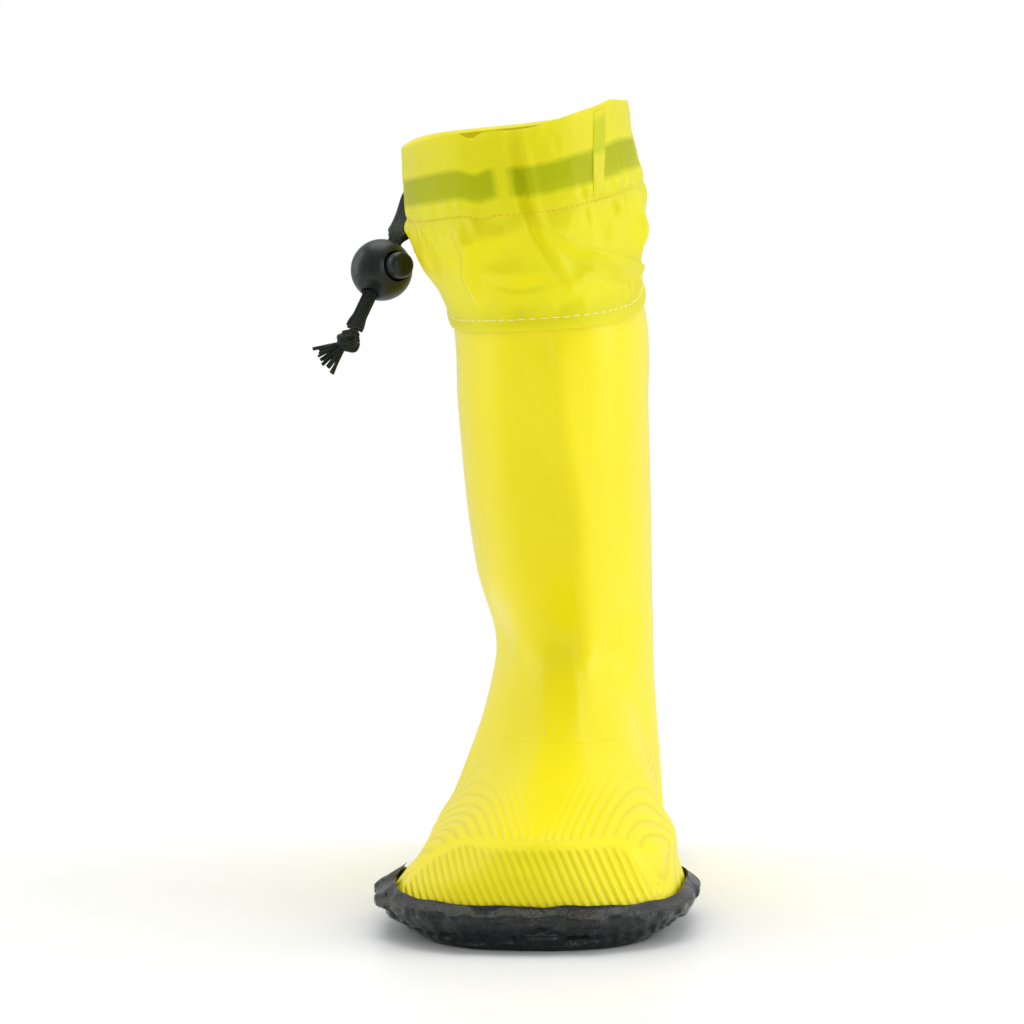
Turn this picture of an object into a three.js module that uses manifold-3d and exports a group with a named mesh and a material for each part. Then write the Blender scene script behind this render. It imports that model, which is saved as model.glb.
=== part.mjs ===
// A child's right rubber rain boot with a gathered nylon collar and a ball cord lock.
// Millimetres. +Z is up, the toe points along -Y, and +X is the inner (big toe) side.
// The origin is on the ground, at the middle of the boot's outline.

import * as THREE from "three";
import { mergeVertices } from "three/addons/utils/BufferGeometryUtils.js";
import ManifoldModule from "manifold-3d";

// Overall sizes.
const SOLE_LENGTH = 196;
const SOLE_WIDTH = 80;
const LEG_TOP = 159; // middle height of the collar's lower hem
const COLLAR_HEIGHT = 48; // from the hem to the rim
const INSTEP_HEIGHT = 88; // where the foot's top line runs into the leg

// Leg sections.
const LEG_WIDTH = 52.6;
const LEG_DEPTH = 94;

// Sole unit, heights of each layer.
const OUTSOLE_HEIGHT = 4;
const TREAD_DEPTH = 2.2;
const TREAD_GROOVE = 3;
const TREAD_PITCH = 9;
const TREAD_BORDER = 7;
const FILLER_HEIGHT = 2.2;
const BOARD_HEIGHT = 1.5;
const SOCKLINER_HEIGHT = 3;
const SOCKLINER_EASE = 1.2; // the removable insole lies loose in the lining
const FOXING_HEIGHT = 9;
const FOXING_WALL = 1.8;
const BUMPER_WALL = 0.9;

// Walls.
const RUBBER_WALL = 1.6;
const TAPE_WALL = 0.6;
const LINING_WALL = 0.7;
const PATCH_WALL = 0.9;
const NYLON_WALL = 0.6;

// Collar, drawband and stitching.
const HEM_OVERLAP = 8; // how far the leg's rubber reaches up inside the collar
const CHANNEL_AT = 0.58; // share of the collar's height where the channel's stitching runs
const CHANNEL_DEPTH = 1.8;
const COLLAR_BULGE = 5;
const BAND_WIDTH = 6.5;
const BAND_WALL = 1.1;
const THREAD = 0.7;
const BUTTONHOLE_HEIGHT = 9;
const BUTTONHOLE_WIDTH = 3.8;

// Cord lock.
const BALL_DIAMETER = 17;
const CORD_HOLE = 4.4;
const PLUNGER_DIAMETER = 7.3;
const PLUNGER_REACH = 11.6; // the button's end, from the ball's centre
const PLUNGER_TRAVEL = 2;
const LOCK_RISE = 2; // how far the ball slides up the cord
const LOCK_DROP = 7; // and down it
const BORE_END = 6.9;
const SPRING_WIRE = 0.45;
const SPRING_DIAMETER = 5;

// Clearances.
const GAP = 0.3; // between pieces that touch
const BOND = 0.5; // between layers glued over a curved wall
const PATCH_BOND = 0.75; // the heel patch has fewer facets than the wall under it
const RUNNING_GAP = 0.25; // round a sliding piece

const COLUMNS = 48; // steps round the boot
const TOE_CROWDING = 0.5; // how much closer the steps lie at the toe
const FOOT_ROWS = 11;
const LEG_ROWS = 7;
const LOW_CROWDING = 1.35; // how much closer the rows lie near the ground

// The outsole stands out past the upper by the strips that rest on it.
const FLANGE = FOXING_WALL + BUMPER_WALL + 3 * GAP;
const FOOT_LENGTH = SOLE_LENGTH - 2 * FLANGE;

// ---- smooth curves through a few named stations ----

function between(stations, at) {
  const last = stations.length - 1;
  if (at <= stations[0][0]) return stations[0][1];
  if (at >= stations[last][0]) return stations[last][1];
  let i = 0;
  while (stations[i + 1][0] < at) i += 1;
  const slope = (k) => {
    const a = stations[Math.max(k - 1, 0)];
    const b = stations[Math.min(k + 1, last)];
    return (b[1] - a[1]) / (b[0] - a[0]);
  };
  const [x0, y0] = stations[i];
  const [x1, y1] = stations[i + 1];
  const span = x1 - x0;
  const t = (at - x0) / span;
  const rise = y1 - y0;
  const c = 3 * rise - span * (2 * slope(i) + slope(i + 1));
  const d = span * (slope(i) + slope(i + 1)) - 2 * rise;
  return y0 + t * (span * slope(i) + t * (c + t * d));
}

// Half widths of the foot, as shares of the sole's width, from toe (0) to heel (1).
const OUTER_EDGE = [[0, 0.42], [0.14, 0.44], [0.33, 0.475], [0.52, 0.42], [0.68, 0.36], [0.85, 0.345], [1, 0.32]];
const INNER_EDGE = [[0, 0.44], [0.14, 0.455], [0.3, 0.465], [0.48, 0.37], [0.62, 0.315], [0.85, 0.345], [1, 0.32]];

// Height of the foot's top line, as shares of the instep height.
const TOP_LINE = [
  [0, 0.2], [0.02, 0.29], [0.09, 0.355], [0.2, 0.425], [0.3, 0.51], [0.4, 0.65],
  [0.5, 0.82], [0.68, 1], [0.8, 0.95], [0.9, 0.75], [0.97, 0.48], [1, 0.2],
];

// How boxy the foot's cross sections are: 1 is a plain slope, 3 is nearly upright walls.
const OUTER_FULLNESS = [[0, 2.6], [0.15, 1.7], [0.33, 1.15], [0.5, 1.2], [0.7, 1.3], [0.85, 1.6], [1, 2.4]];
const INNER_FULLNESS = [[0, 3], [0.15, 2.7], [0.33, 2.3], [0.5, 2], [0.7, 1.9], [1, 2.4]];

// The leg's axis and section sizes against height, as shares of the hem's height.
const LEG_AXIS_X = [[0.3, 5.7], [0.4, 5.7], [0.55, 2.6], [0.82, 0.4], [0.96, 0], [1.12, -5.2], [1.3, -9.5]];
const LEG_AXIS_Y = [[0.3, 35], [0.4, 35], [0.55, 28], [0.82, 17], [0.96, 12], [1.12, 6], [1.3, 0]];
const LEG_WIDTH_SHARE = [[0.25, 0.82], [0.4, 0.8], [0.55, 0.935], [0.82, 1], [1.3, 1.03]];
const LEG_DEPTH_SHARE = [[0.25, 0.93], [0.4, 0.92], [0.55, 0.96], [0.82, 1], [1.3, 0.99]];

function roundedEnd(share, length) {
  const t = share / length;
  return t >= 1 ? 1 : Math.pow(Math.max(0, 1 - Math.pow(1 - t, 2.4)), 1 / 2.4);
}

// Half width of the foot at share t of its length, on one side, in mm.
function edgeAt(t, outer, inset) {
  const shrunk = (t * FOOT_LENGTH - inset) / (FOOT_LENGTH - 2 * inset);
  if (shrunk <= 0 || shrunk >= 1) return 0;
  const width = SOLE_WIDTH * between(outer ? OUTER_EDGE : INNER_EDGE, t) - inset;
  return width * roundedEnd(shrunk, 0.2) * roundedEnd(1 - shrunk, 0.17);
}

function insideFoot(x, y, z, inset) {
  const t = y / FOOT_LENGTH + 0.5;
  const outer = x < 0;
  const top = INSTEP_HEIGHT * between(TOP_LINE, t) - inset;
  if (z >= top) return false;
  const fullness = between(outer ? OUTER_FULLNESS : INNER_FULLNESS, t);
  const narrowing = Math.pow(1 - Math.pow(Math.max(z, 0) / top, fullness), 1 / fullness);
  return Math.abs(x) < edgeAt(t, outer, inset) * narrowing;
}

// Where a ray from the leg's axis leaves the foot.
function footReach(angle, z, inset, axis) {
  const sx = Math.sin(angle);
  const sy = -Math.cos(angle);
  let near = 0;
  let far = SOLE_LENGTH;
  for (let step = 0; step < 26; step += 1) {
    const middle = (near + far) / 2;
    const inside = insideFoot(axis.x + sx * middle, axis.y + sy * middle, z, inset);
    if (inside) near = middle;
    else far = middle;
  }
  return near;
}

function legReach(angle, z, inset) {
  const share = z / LEG_TOP;
  const halfWidth = (LEG_WIDTH / 2) * between(LEG_WIDTH_SHARE, share) - inset;
  const halfDepth = (LEG_DEPTH / 2) * between(LEG_DEPTH_SHARE, share) - inset;
  return 1 / Math.hypot(Math.sin(angle) / halfWidth, Math.cos(angle) / halfDepth);
}

function legAxis(z) {
  const share = z / LEG_TOP;
  return new THREE.Vector3(between(LEG_AXIS_X, share), between(LEG_AXIS_Y, share), z);
}

// A point of the boot's skin, moved inwards by inset. Angle 0 is the toe, a quarter turn is the inner side.
function skin(angle, z, inset) {
  const axis = legAxis(z);
  const foot = footReach(angle, z, inset, axis);
  const leg = legReach(angle, z, inset);
  const blend = 7;
  const reach = (foot + leg + Math.hypot(foot - leg, blend)) / 2 - blend * 0.1;
  return new THREE.Vector3(axis.x + reach * Math.sin(angle), axis.y - reach * Math.cos(angle), z);
}

function columnAngle(column) {
  const turn = (column / COLUMNS) * Math.PI * 2;
  return turn - TOE_CROWDING * Math.sin(turn);
}

// ---- heights that slope round the boot ----

function slopedHeight(angle, middle, backRise, innerRise) {
  return middle - (backRise / 2) * Math.cos(angle) + (innerRise / 2) * Math.sin(angle);
}

const hemHeight = (angle) => slopedHeight(angle, LEG_TOP, 17, 5);
const rimHeight = (angle) => slopedHeight(angle, LEG_TOP + COLLAR_HEIGHT, 10, 11);
const rubberTop = (angle) => hemHeight(angle) + HEM_OVERLAP;
const vampTop = (angle) => slopedHeight(angle, 52, 16, 0);
const BOTTOM = OUTSOLE_HEIGHT + GAP;
const BOARD_BOTTOM = BOTTOM + FILLER_HEIGHT + GAP;
const INSIDE_BOTTOM = BOARD_BOTTOM + BOARD_HEIGHT + GAP;

function foxingTop(angle) {
  const waves = 0.45 * Math.sin(11 * angle + 1) + 0.3 * Math.sin(23 * angle);
  const ends = 2.6 * Math.pow(Math.abs(Math.cos(angle)), 3) - 1.1 * Math.sin(angle);
  return FOXING_HEIGHT + ends + waves;
}

// ---- closed bodies from loops of points ----

// Points that coincide become one, and triangles that shrink to a line are left out.
function geometryFrom(points, triangles) {
  const places = new Map();
  const kept = [];
  const renumbered = points.map((point) => {
    const key = point.toArray().map((value) => Math.round(value * 500)).join();
    if (!places.has(key)) places.set(key, kept.push(point) - 1);
    return places.get(key);
  });
  const index = [];
  for (let i = 0; i < triangles.length; i += 3) {
    const [a, b, c] = triangles.slice(i, i + 3).map((corner) => renumbered[corner]);
    if (a !== b && b !== c && c !== a) index.push(a, b, c);
  }
  const geometry = new THREE.BufferGeometry();
  geometry.setAttribute("position", new THREE.Float32BufferAttribute(kept.flatMap((p) => p.toArray()), 3));
  geometry.setIndex(index);
  return geometry;
}

// Joins loops of equal length. A ring closes on itself; otherwise both ends get a cap of crossing strips.
function loft(loops, ring) {
  const size = loops[0].length;
  const points = loops.flat();
  const triangles = [];
  const last = ring ? loops.length : loops.length - 1;
  for (let i = 0; i < last; i += 1) {
    const a = i * size;
    const b = ((i + 1) % loops.length) * size;
    for (let j = 0; j < size; j += 1) {
      const k = (j + 1) % size;
      triangles.push(a + j, b + j, b + k, a + j, b + k, a + k);
    }
  }
  if (!ring) {
    const end = (loops.length - 1) * size;
    for (let j = 0; j < size / 2 - 1; j += 1) {
      const k = size - 1 - j;
      triangles.push(j, j + 1, k, j + 1, k - 1, k);
      triangles.push(end + j, end + k, end + j + 1, end + j + 1, end + k, end + k - 1);
    }
  }
  return facingOut(geometryFrom(points, triangles));
}

// Turns every face round when the body comes out with a negative volume.
function facingOut(geometry) {
  const position = geometry.attributes.position;
  const index = geometry.index.array;
  const corner = [new THREE.Vector3(), new THREE.Vector3(), new THREE.Vector3()];
  let volume = 0;
  for (let i = 0; i < index.length; i += 3) {
    corner.forEach((p, k) => p.fromBufferAttribute(position, index[i + k]));
    volume += corner[0].dot(corner[1].clone().cross(corner[2]));
  }
  if (volume < 0) {
    for (let i = 0; i < index.length; i += 3) [index[i], index[i + 1]] = [index[i + 1], index[i]];
  }
  return geometry;
}

function columnAngles(from = 0, to = COLUMNS) {
  return Array.from({ length: to - from }, (_, i) => columnAngle(from + i));
}

// A wall that follows the skin all round, between two heights and two insets.
function ringWall(low, high, outerInset, innerInset) {
  const loops = columnAngles().map((angle) => wallLoop(angle, low(angle), high(angle), outerInset, innerInset));
  return loft(loops, true);
}

// Heights from low to high that leave even steps along the skin, closer together near the bottom.
function evenHeights(angle, low, high, rows, crowding) {
  const fine = 60;
  const heights = Array.from({ length: fine + 1 }, (_, i) => low + ((high - low) * i) / fine);
  const points = heights.map((z) => skin(angle, z, 0));
  const run = [0];
  for (let i = 1; i <= fine; i += 1) run.push(run[i - 1] + points[i].distanceTo(points[i - 1]));
  return Array.from({ length: rows + 1 }, (_, row) => {
    const wanted = run[fine] * Math.pow(row / rows, crowding);
    let i = 1;
    while (i < fine && run[i] < wanted) i += 1;
    const part = (wanted - run[i - 1]) / (run[i] - run[i - 1]);
    return heights[i - 1] + part * (heights[i] - heights[i - 1]);
  });
}

// The rows that every wall shares, so that nested walls have the same facets.
function sharedHeights(angle) {
  const foot = evenHeights(angle, BOTTOM, vampTop(angle), FOOT_ROWS, LOW_CROWDING);
  const leg = evenHeights(angle, vampTop(angle), hemHeight(angle), LEG_ROWS, 1);
  const top = [hemHeight(angle) + HEM_OVERLAP / 2, rubberTop(angle)];
  return [...foot, ...leg.slice(1), ...top];
}

function wallLoop(angle, low, high, outerInset, innerInset) {
  const rows = sharedHeights(angle).map((z) => THREE.MathUtils.clamp(z, low, high));
  const heights = [low, ...rows, high];
  const outer = heights.map((z) => skin(angle, z, outerInset));
  const inner = heights.map((z) => skin(angle, z, innerInset));
  return [...outer, ...inner.reverse()];
}

// A wall over part of the way round, with closed ends.
function patchWall(angles, low, high, outerInset, innerInset) {
  const loops = angles.map((angle) => wallLoop(angle, low(angle), high(angle), outerInset, innerInset));
  return loft(loops, false);
}

function spread(from, to, steps) {
  return Array.from({ length: steps + 1 }, (_, i) => from + ((to - from) * i) / steps);
}

// A flat plate with the boot's outline, from rings given as an inset and a height, bottom first.
function plate(rings, outlineHeight) {
  const size = COLUMNS;
  const points = rings.flatMap(([inset, z]) =>
    columnAngles().map((angle) => skin(angle, outlineHeight, inset).setZ(z)),
  );
  const triangles = [];
  for (let ring = 0; ring < rings.length - 1; ring += 1) {
    for (let j = 0; j < size; j += 1) {
      const k = (j + 1) % size;
      const a = ring * size;
      const b = a + size;
      triangles.push(a + j, a + k, b + k, a + j, b + k, b + j);
    }
  }
  const centre = legAxis(0);
  const low = points.push(centre.clone().setZ(rings[0][1])) - 1;
  const high = points.push(centre.clone().setZ(rings[rings.length - 1][1])) - 1;
  const top = (rings.length - 1) * size;
  for (let j = 0; j < size; j += 1) {
    const k = (j + 1) % size;
    triangles.push(low, k, j, high, top + j, top + k);
  }
  return facingOut(geometryFrom(points, triangles));
}

// ---- boolean cuts ----

const wasm = await ManifoldModule();
wasm.setup();

function toSolid(geometry) {
  const plain = geometry.clone();
  plain.deleteAttribute("normal");
  plain.deleteAttribute("uv");
  const merged = mergeVertices(plain, 1e-4);
  const mesh = new wasm.Mesh({
    numProp: 3,
    vertProperties: new Float32Array(merged.attributes.position.array),
    triVerts: new Uint32Array(merged.index.array),
  });
  return new wasm.Manifold(mesh);
}

function toGeometry(solid) {
  const mesh = solid.getMesh();
  const geometry = new THREE.BufferGeometry();
  geometry.setAttribute("position", new THREE.BufferAttribute(new Float32Array(mesh.vertProperties), 3));
  geometry.setIndex(new THREE.BufferAttribute(new Uint32Array(mesh.triVerts), 1));
  return geometry;
}

function cut(body, tools) {
  return toGeometry(tools.reduce((solid, tool) => solid.subtract(toSolid(tool)), toSolid(body)));
}

// A geometry made along +Z, turned to run along a direction and moved to a place.
function placedAlong(geometry, direction, place) {
  const turn = new THREE.Quaternion().setFromUnitVectors(new THREE.Vector3(0, 0, 1), direction);
  return geometry.applyQuaternion(turn).translate(place.x, place.y, place.z);
}

// ---- sole unit ----

function grooveAt(y) {
  const t = y / FOOT_LENGTH + 0.5;
  const left = -edgeAt(t, true, 0) + TREAD_BORDER;
  const right = edgeAt(t, false, 0) - TREAD_BORDER;
  const groove = new THREE.BoxGeometry(right - left, TREAD_GROOVE, 2 * TREAD_DEPTH);
  return groove.translate((left + right) / 2, y, 0);
}

function outsole() {
  const body = plate([[1.6 - FLANGE, 0], [-FLANGE, 1.4], [-FLANGE, OUTSOLE_HEIGHT]], BOTTOM);
  const grooves = [];
  const forefootEnd = 0.12 * FOOT_LENGTH;
  const heelStart = 0.2 * FOOT_LENGTH;
  const reach = FOOT_LENGTH / 2 - 12;
  for (let y = -reach; y < forefootEnd; y += TREAD_PITCH) grooves.push(grooveAt(y));
  for (let y = heelStart; y < reach; y += TREAD_PITCH) grooves.push(grooveAt(y));
  return cut(body, grooves);
}

function foxingStrip() {
  const loops = columnAngles().map((angle) => {
    const top = foxingTop(angle);
    return wallLoop(angle, BOTTOM, top, -BOND - FOXING_WALL, -BOND);
  });
  return loft(loops, true);
}

function toeBumper() {
  const reach = 0.34;
  const angles = spread(-reach, reach, 14);
  const top = (angle) => BOTTOM + 1 + 4.6 * Math.cos((angle / reach) * (Math.PI / 2));
  const inner = -BOND - FOXING_WALL - GAP;
  return patchWall(angles, () => BOTTOM, top, inner - BUMPER_WALL, inner);
}

function layerPlate(inset, bottom, height) {
  return plate([[inset, bottom], [inset, bottom + height]], bottom + height);
}

const spongeFiller = () => layerPlate(RUBBER_WALL + GAP, BOTTOM, FILLER_HEIGHT);
const insoleBoard = () => layerPlate(RUBBER_WALL + GAP, BOARD_BOTTOM, BOARD_HEIGHT);

const LINING_INSET = RUBBER_WALL + TAPE_WALL + 3 * BOND;

function sockliner() {
  return layerPlate(LINING_INSET + LINING_WALL + SOCKLINER_EASE, INSIDE_BOTTOM, SOCKLINER_HEIGHT);
}

// ---- upper ----

function vamp() {
  return ringWall(() => BOTTOM, vampTop, 0, RUBBER_WALL);
}

function shaft() {
  return ringWall((angle) => vampTop(angle) + GAP, rubberTop, 0, RUBBER_WALL);
}

function tapeBetween(low, high) {
  return ringWall(low, high, RUBBER_WALL + BOND, RUBBER_WALL + BOND + TAPE_WALL);
}

const jointTape = () => tapeBetween((angle) => vampTop(angle) - 4, (angle) => vampTop(angle) + 4);
const seamTape = () => tapeBetween((angle) => rubberTop(angle) - 10, (angle) => rubberTop(angle) - 1);

function lining() {
  const top = (angle) => rubberTop(angle) - 11;
  return ringWall(() => INSIDE_BOTTOM, top, LINING_INSET, LINING_INSET + LINING_WALL);
}

const HEEL_PATCH_TOP = 50;

function heelPatch() {
  const angles = spread(Math.PI - 0.85, Math.PI + 0.85, 14);
  const low = (angle) => foxingTop(angle) + 1.5;
  const top = (angle) => HEEL_PATCH_TOP - 14 * Math.pow((angle - Math.PI) / 0.85, 2);
  return patchWall(angles, low, top, -PATCH_BOND - PATCH_WALL, -PATCH_BOND);
}

function backSeamStrip() {
  const angles = spread(Math.PI - 0.1, Math.PI + 0.1, 2);
  const top = (angle) => hemHeight(angle) - 1;
  return patchWall(angles, () => HEEL_PATCH_TOP + 0.6, top, -BOND - PATCH_WALL, -BOND);
}

// ---- collar ----

// How far the collar's cloth stands out from the leg, at share t of its height.
function collarBulge(t) {
  return COLLAR_BULGE * between([[0, 0], [0.12, 0.04], [0.36, 0.8], [0.58, 1], [0.8, 0.85], [1, 0.6]], t);
}

// A point of the collar's outer ply. Outward is measured from the ply's inner face.
function collarPoint(angle, t, outward) {
  const low = hemHeight(angle);
  const z = low + (rimHeight(angle) - low) * t;
  return skin(angle, z, -(GAP + collarBulge(t) + outward));
}

function gaiter() {
  const upperShares = [0.32, 0.45, CHANNEL_AT, 0.7, 0.85, 1];
  const innerShares = [1, 0.85, 0.7, CHANNEL_AT, CHANNEL_AT - 0.05];
  const fold = 1 - NYLON_WALL / COLLAR_HEIGHT;
  const pinch = (t) => (t <= CHANNEL_AT ? 0.5 : CHANNEL_DEPTH);
  const loops = columnAngles().map((angle) => {
    const overlap = HEM_OVERLAP / (rimHeight(angle) - hemHeight(angle));
    const outerShares = [0, overlap / 2, overlap, ...upperShares];
    const face = (shares, outward) => shares.map((t) => collarPoint(angle, Math.min(t, fold), outward(t)));
    const outside = outerShares.map((t) => collarPoint(angle, t, NYLON_WALL));
    const inside = innerShares.map((t) => collarPoint(angle, t, -pinch(t) - NYLON_WALL));
    const channelInner = face([...innerShares].reverse(), (t) => -pinch(t));
    const channelOuter = face([...outerShares].reverse(), () => 0);
    return [...outside, ...inside, ...channelInner, ...channelOuter];
  });
  const slot = buttonholeFrame();
  const tool = new THREE.BoxGeometry(3 * NYLON_WALL, BUTTONHOLE_WIDTH, BUTTONHOLE_HEIGHT);
  tool.applyMatrix4(slot);
  return cut(loft(loops, true), [tool]);
}

const EXIT_ANGLE = -Math.PI / 2 - 0.9; // on the outer side, towards the heel
const BAND_AT = 0.76;

// A frame on the outer ply where the drawband comes out: X outward, Z up.
function buttonholeFrame() {
  const place = collarPoint(EXIT_ANGLE, BAND_AT, NYLON_WALL / 2);
  const step = 0.02;
  const along = collarPoint(EXIT_ANGLE + step, BAND_AT, 0).sub(collarPoint(EXIT_ANGLE - step, BAND_AT, 0)).normalize();
  const up = collarPoint(EXIT_ANGLE, BAND_AT + step, 0).sub(collarPoint(EXIT_ANGLE, BAND_AT - step, 0));
  const outward = along.clone().cross(up).normalize();
  if (outward.x > 0) outward.negate();
  const upright = outward.clone().cross(along).normalize();
  return new THREE.Matrix4().makeBasis(outward, along, upright).setPosition(place);
}

function threadRing(share) {
  const radius = THREAD / 2;
  const loops = columnAngles().map((angle) => {
    const height = rimHeight(angle) - hemHeight(angle);
    return [0, 1, 2, 3, 4, 5].map((side) => {
      const turn = (side * Math.PI) / 3;
      const t = share + (radius * Math.sin(turn)) / height;
      const bulgeHere = collarBulge(share) - collarBulge(t);
      return collarPoint(angle, t, NYLON_WALL + GAP + radius + radius * Math.cos(turn) + bulgeHere);
    });
  });
  return loft(loops, true);
}

function sideSeam() {
  const angles = spread(0.42, 0.5, 2);
  const shares = [CHANNEL_AT + 0.05, 0.7, 0.82, 0.96];
  const loops = angles.map((angle) => {
    const outer = shares.map((t) => collarPoint(angle, t, NYLON_WALL + GAP + 0.5));
    const inner = shares.map((t) => collarPoint(angle, t, NYLON_WALL + GAP));
    return [...outer, ...inner.reverse()];
  });
  return loft(loops, false);
}

function buttonholeStitching() {
  const frame = buttonholeFrame();
  const radius = THREAD / 2;
  const halfWidth = BUTTONHOLE_WIDTH / 2 + THREAD;
  const halfHeight = BUTTONHOLE_HEIGHT / 2 + 2 * THREAD;
  const steps = 24;
  const loops = Array.from({ length: steps }, (_, i) => {
    const turn = (i / steps) * Math.PI * 2;
    const rim = new THREE.Vector3(0, halfWidth * Math.cos(turn), halfHeight * Math.sin(turn));
    const out = new THREE.Vector3(0, Math.cos(turn), Math.sin(turn));
    return Array.from({ length: 6 }, (_, side) => {
      const around = (side * Math.PI) / 3;
      const point = rim.clone().addScaledVector(out, radius * Math.cos(around));
      point.x = NYLON_WALL / 2 + GAP + 0.5 + radius * Math.sin(around);
      return point.applyMatrix4(frame);
    });
  });
  return loft(loops, true);
}

// ---- drawband in its channel ----

function drawband() {
  const middle = -CHANNEL_DEPTH / 2;
  const loops = columnAngles().map((angle) => {
    const height = rimHeight(angle) - hemHeight(angle);
    const half = BAND_WIDTH / 2 / height;
    const corner = (up, out) => {
      const t = BAND_AT + up * half;
      const level = collarBulge(BAND_AT) - collarBulge(t);
      return collarPoint(angle, t, middle + (out * BAND_WALL) / 2 + level * 0.2);
    };
    return [corner(-1, 1), corner(1, 1), corner(1, -1), corner(-1, -1)];
  });
  return loft(loops, true);
}

// ---- cord lock, on the two ends of the drawband ----

const BALL_PLACE = new THREE.Vector3(-46.8, 13, 168.5);
const CORD_DIRECTION = new THREE.Vector3(0.34, 0.42, 0.842).normalize();
const PLUNGER_DIRECTION = new THREE.Vector3(0.71, -0.66, 0.26).projectOnPlane(CORD_DIRECTION).normalize();
const BALL_RADIUS = BALL_DIAMETER / 2;

function onCord(distance) {
  return BALL_PLACE.clone().addScaledVector(CORD_DIRECTION, distance);
}

function cylinderAlong(diameter, from, to, direction, centre, sides) {
  const geometry = new THREE.CylinderGeometry(diameter / 2, diameter / 2, to - from, sides);
  geometry.rotateX(Math.PI / 2);
  return placedAlong(geometry, direction, centre.clone().addScaledVector(direction, (from + to) / 2));
}

function cordLockBall() {
  const ball = new THREE.SphereGeometry(BALL_RADIUS, 22, 14).translate(BALL_PLACE.x, BALL_PLACE.y, BALL_PLACE.z);
  const cordHole = cylinderAlong(CORD_HOLE, -BALL_DIAMETER, BALL_DIAMETER, CORD_DIRECTION, BALL_PLACE, 16);
  const boreDiameter = PLUNGER_DIAMETER + 2 * RUNNING_GAP;
  const bore = cylinderAlong(boreDiameter, -BORE_END, BALL_DIAMETER, PLUNGER_DIRECTION, BALL_PLACE, 24);
  return cut(ball, [cordHole, bore]);
}

const SLOT_INNER = CORD_HOLE / 2 - GAP;
const PLUNGER_INNER = SLOT_INNER + 1;

function cordLockPlunger() {
  const stem = cylinderAlong(PLUNGER_DIAMETER, -PLUNGER_INNER, PLUNGER_REACH, PLUNGER_DIRECTION, BALL_PLACE, 24);
  const slotLength = 2 * SLOT_INNER + PLUNGER_TRAVEL + GAP;
  const slot = new THREE.BoxGeometry(CORD_HOLE, PLUNGER_DIAMETER * 2, slotLength);
  const across = CORD_DIRECTION.clone().cross(PLUNGER_DIRECTION).normalize();
  const along = PLUNGER_DIRECTION.clone().cross(across).normalize();
  const place = BALL_PLACE.clone().addScaledVector(PLUNGER_DIRECTION, slotLength / 2 - SLOT_INNER);
  slot.applyMatrix4(new THREE.Matrix4().makeBasis(across, along, PLUNGER_DIRECTION).setPosition(place));
  return cut(stem, [slot]);
}

function cordLockSpring() {
  const from = -BORE_END + GAP + SPRING_WIRE / 2;
  const to = -PLUNGER_INNER - GAP - SPRING_WIRE / 2;
  const turns = 2.25;
  const steps = 36;
  const side = CORD_DIRECTION.clone().cross(PLUNGER_DIRECTION).normalize();
  const other = PLUNGER_DIRECTION.clone().cross(side);
  const radius = (SPRING_DIAMETER - SPRING_WIRE) / 2;
  const loops = Array.from({ length: steps + 1 }, (_, i) => {
    const turn = (i / steps) * turns * Math.PI * 2;
    const out = side.clone().multiplyScalar(Math.cos(turn)).addScaledVector(other, Math.sin(turn));
    const place = BALL_PLACE.clone().addScaledVector(PLUNGER_DIRECTION, from + ((to - from) * i) / steps);
    return Array.from({ length: 6 }, (_, k) => {
      const around = (k * Math.PI) / 3;
      const point = place.clone().addScaledVector(out, radius + (SPRING_WIRE / 2) * Math.cos(around));
      return point.addScaledVector(PLUNGER_DIRECTION, (SPRING_WIRE / 2) * Math.sin(around));
    });
  });
  return loft(loops, false);
}

// The two band ends run from the buttonhole, straight through the ball, to the knot.
const TAIL_ROUTE = [
  [-34.5, 34.7, 197.1],
  [-37.4, 35.5, 196.3],
  [-40.0, 32.6, 190.2],
  [-41.6, 25.8, 182.8],
  [-43.4, 17.2, 176.9],
  [-46.8, 13, 168.5],
  [-49.7, 9.4, 161.3],
  [-53.3, 4.9, 152.3],
];
const PINCHED_WIDTH = CORD_HOLE - 1.6; // of each strand, in the ball and where it leaves the collar
const KNOT_PLACE = new THREE.Vector3(-54.7, 3.2, 148.9);
const KNOT_RADIUS = 3.4;

function tailStrand(side) {
  const points = TAIL_ROUTE.map((point) => new THREE.Vector3(...point));
  const route = new THREE.CatmullRomCurve3(points, false, "centripetal");
  const steps = 36;
  const facing = new THREE.Vector3(0.1, 1, -0.2);
  const loops = Array.from({ length: steps + 1 }, (_, i) => {
    const place = route.getPointAt(i / steps);
    const tangent = route.getTangentAt(i / steps);
    const along = place.clone().sub(BALL_PLACE).dot(CORD_DIRECTION);
    const thick = facing.clone().projectOnPlane(tangent).normalize();
    const wide = tangent.clone().cross(thick).normalize();
    const narrow = BALL_RADIUS + GAP + (along > 0 ? LOCK_RISE : LOCK_DROP);
    const clearOfBall = THREE.MathUtils.smoothstep(Math.abs(along), narrow, narrow + 4);
    const clearOfHole = THREE.MathUtils.smoothstep(i / steps, 0.1, 0.3);
    const halfWidth = THREE.MathUtils.lerp(PINCHED_WIDTH, BAND_WIDTH, Math.min(clearOfBall, clearOfHole)) / 2;
    const centre = place.addScaledVector(thick, (side * (BAND_WALL + GAP)) / 2);
    const corners = [[-1, 0.4], [-0.7, 1], [0.7, 1], [1, 0.4], [1, -0.4], [0.7, -1], [-0.7, -1], [-1, -0.4]];
    return corners.map(([across, deep]) =>
      centre.clone().addScaledVector(wide, across * halfWidth).addScaledVector(thick, (deep * BAND_WALL) / 2),
    );
  });
  return loft(loops, false);
}

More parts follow.
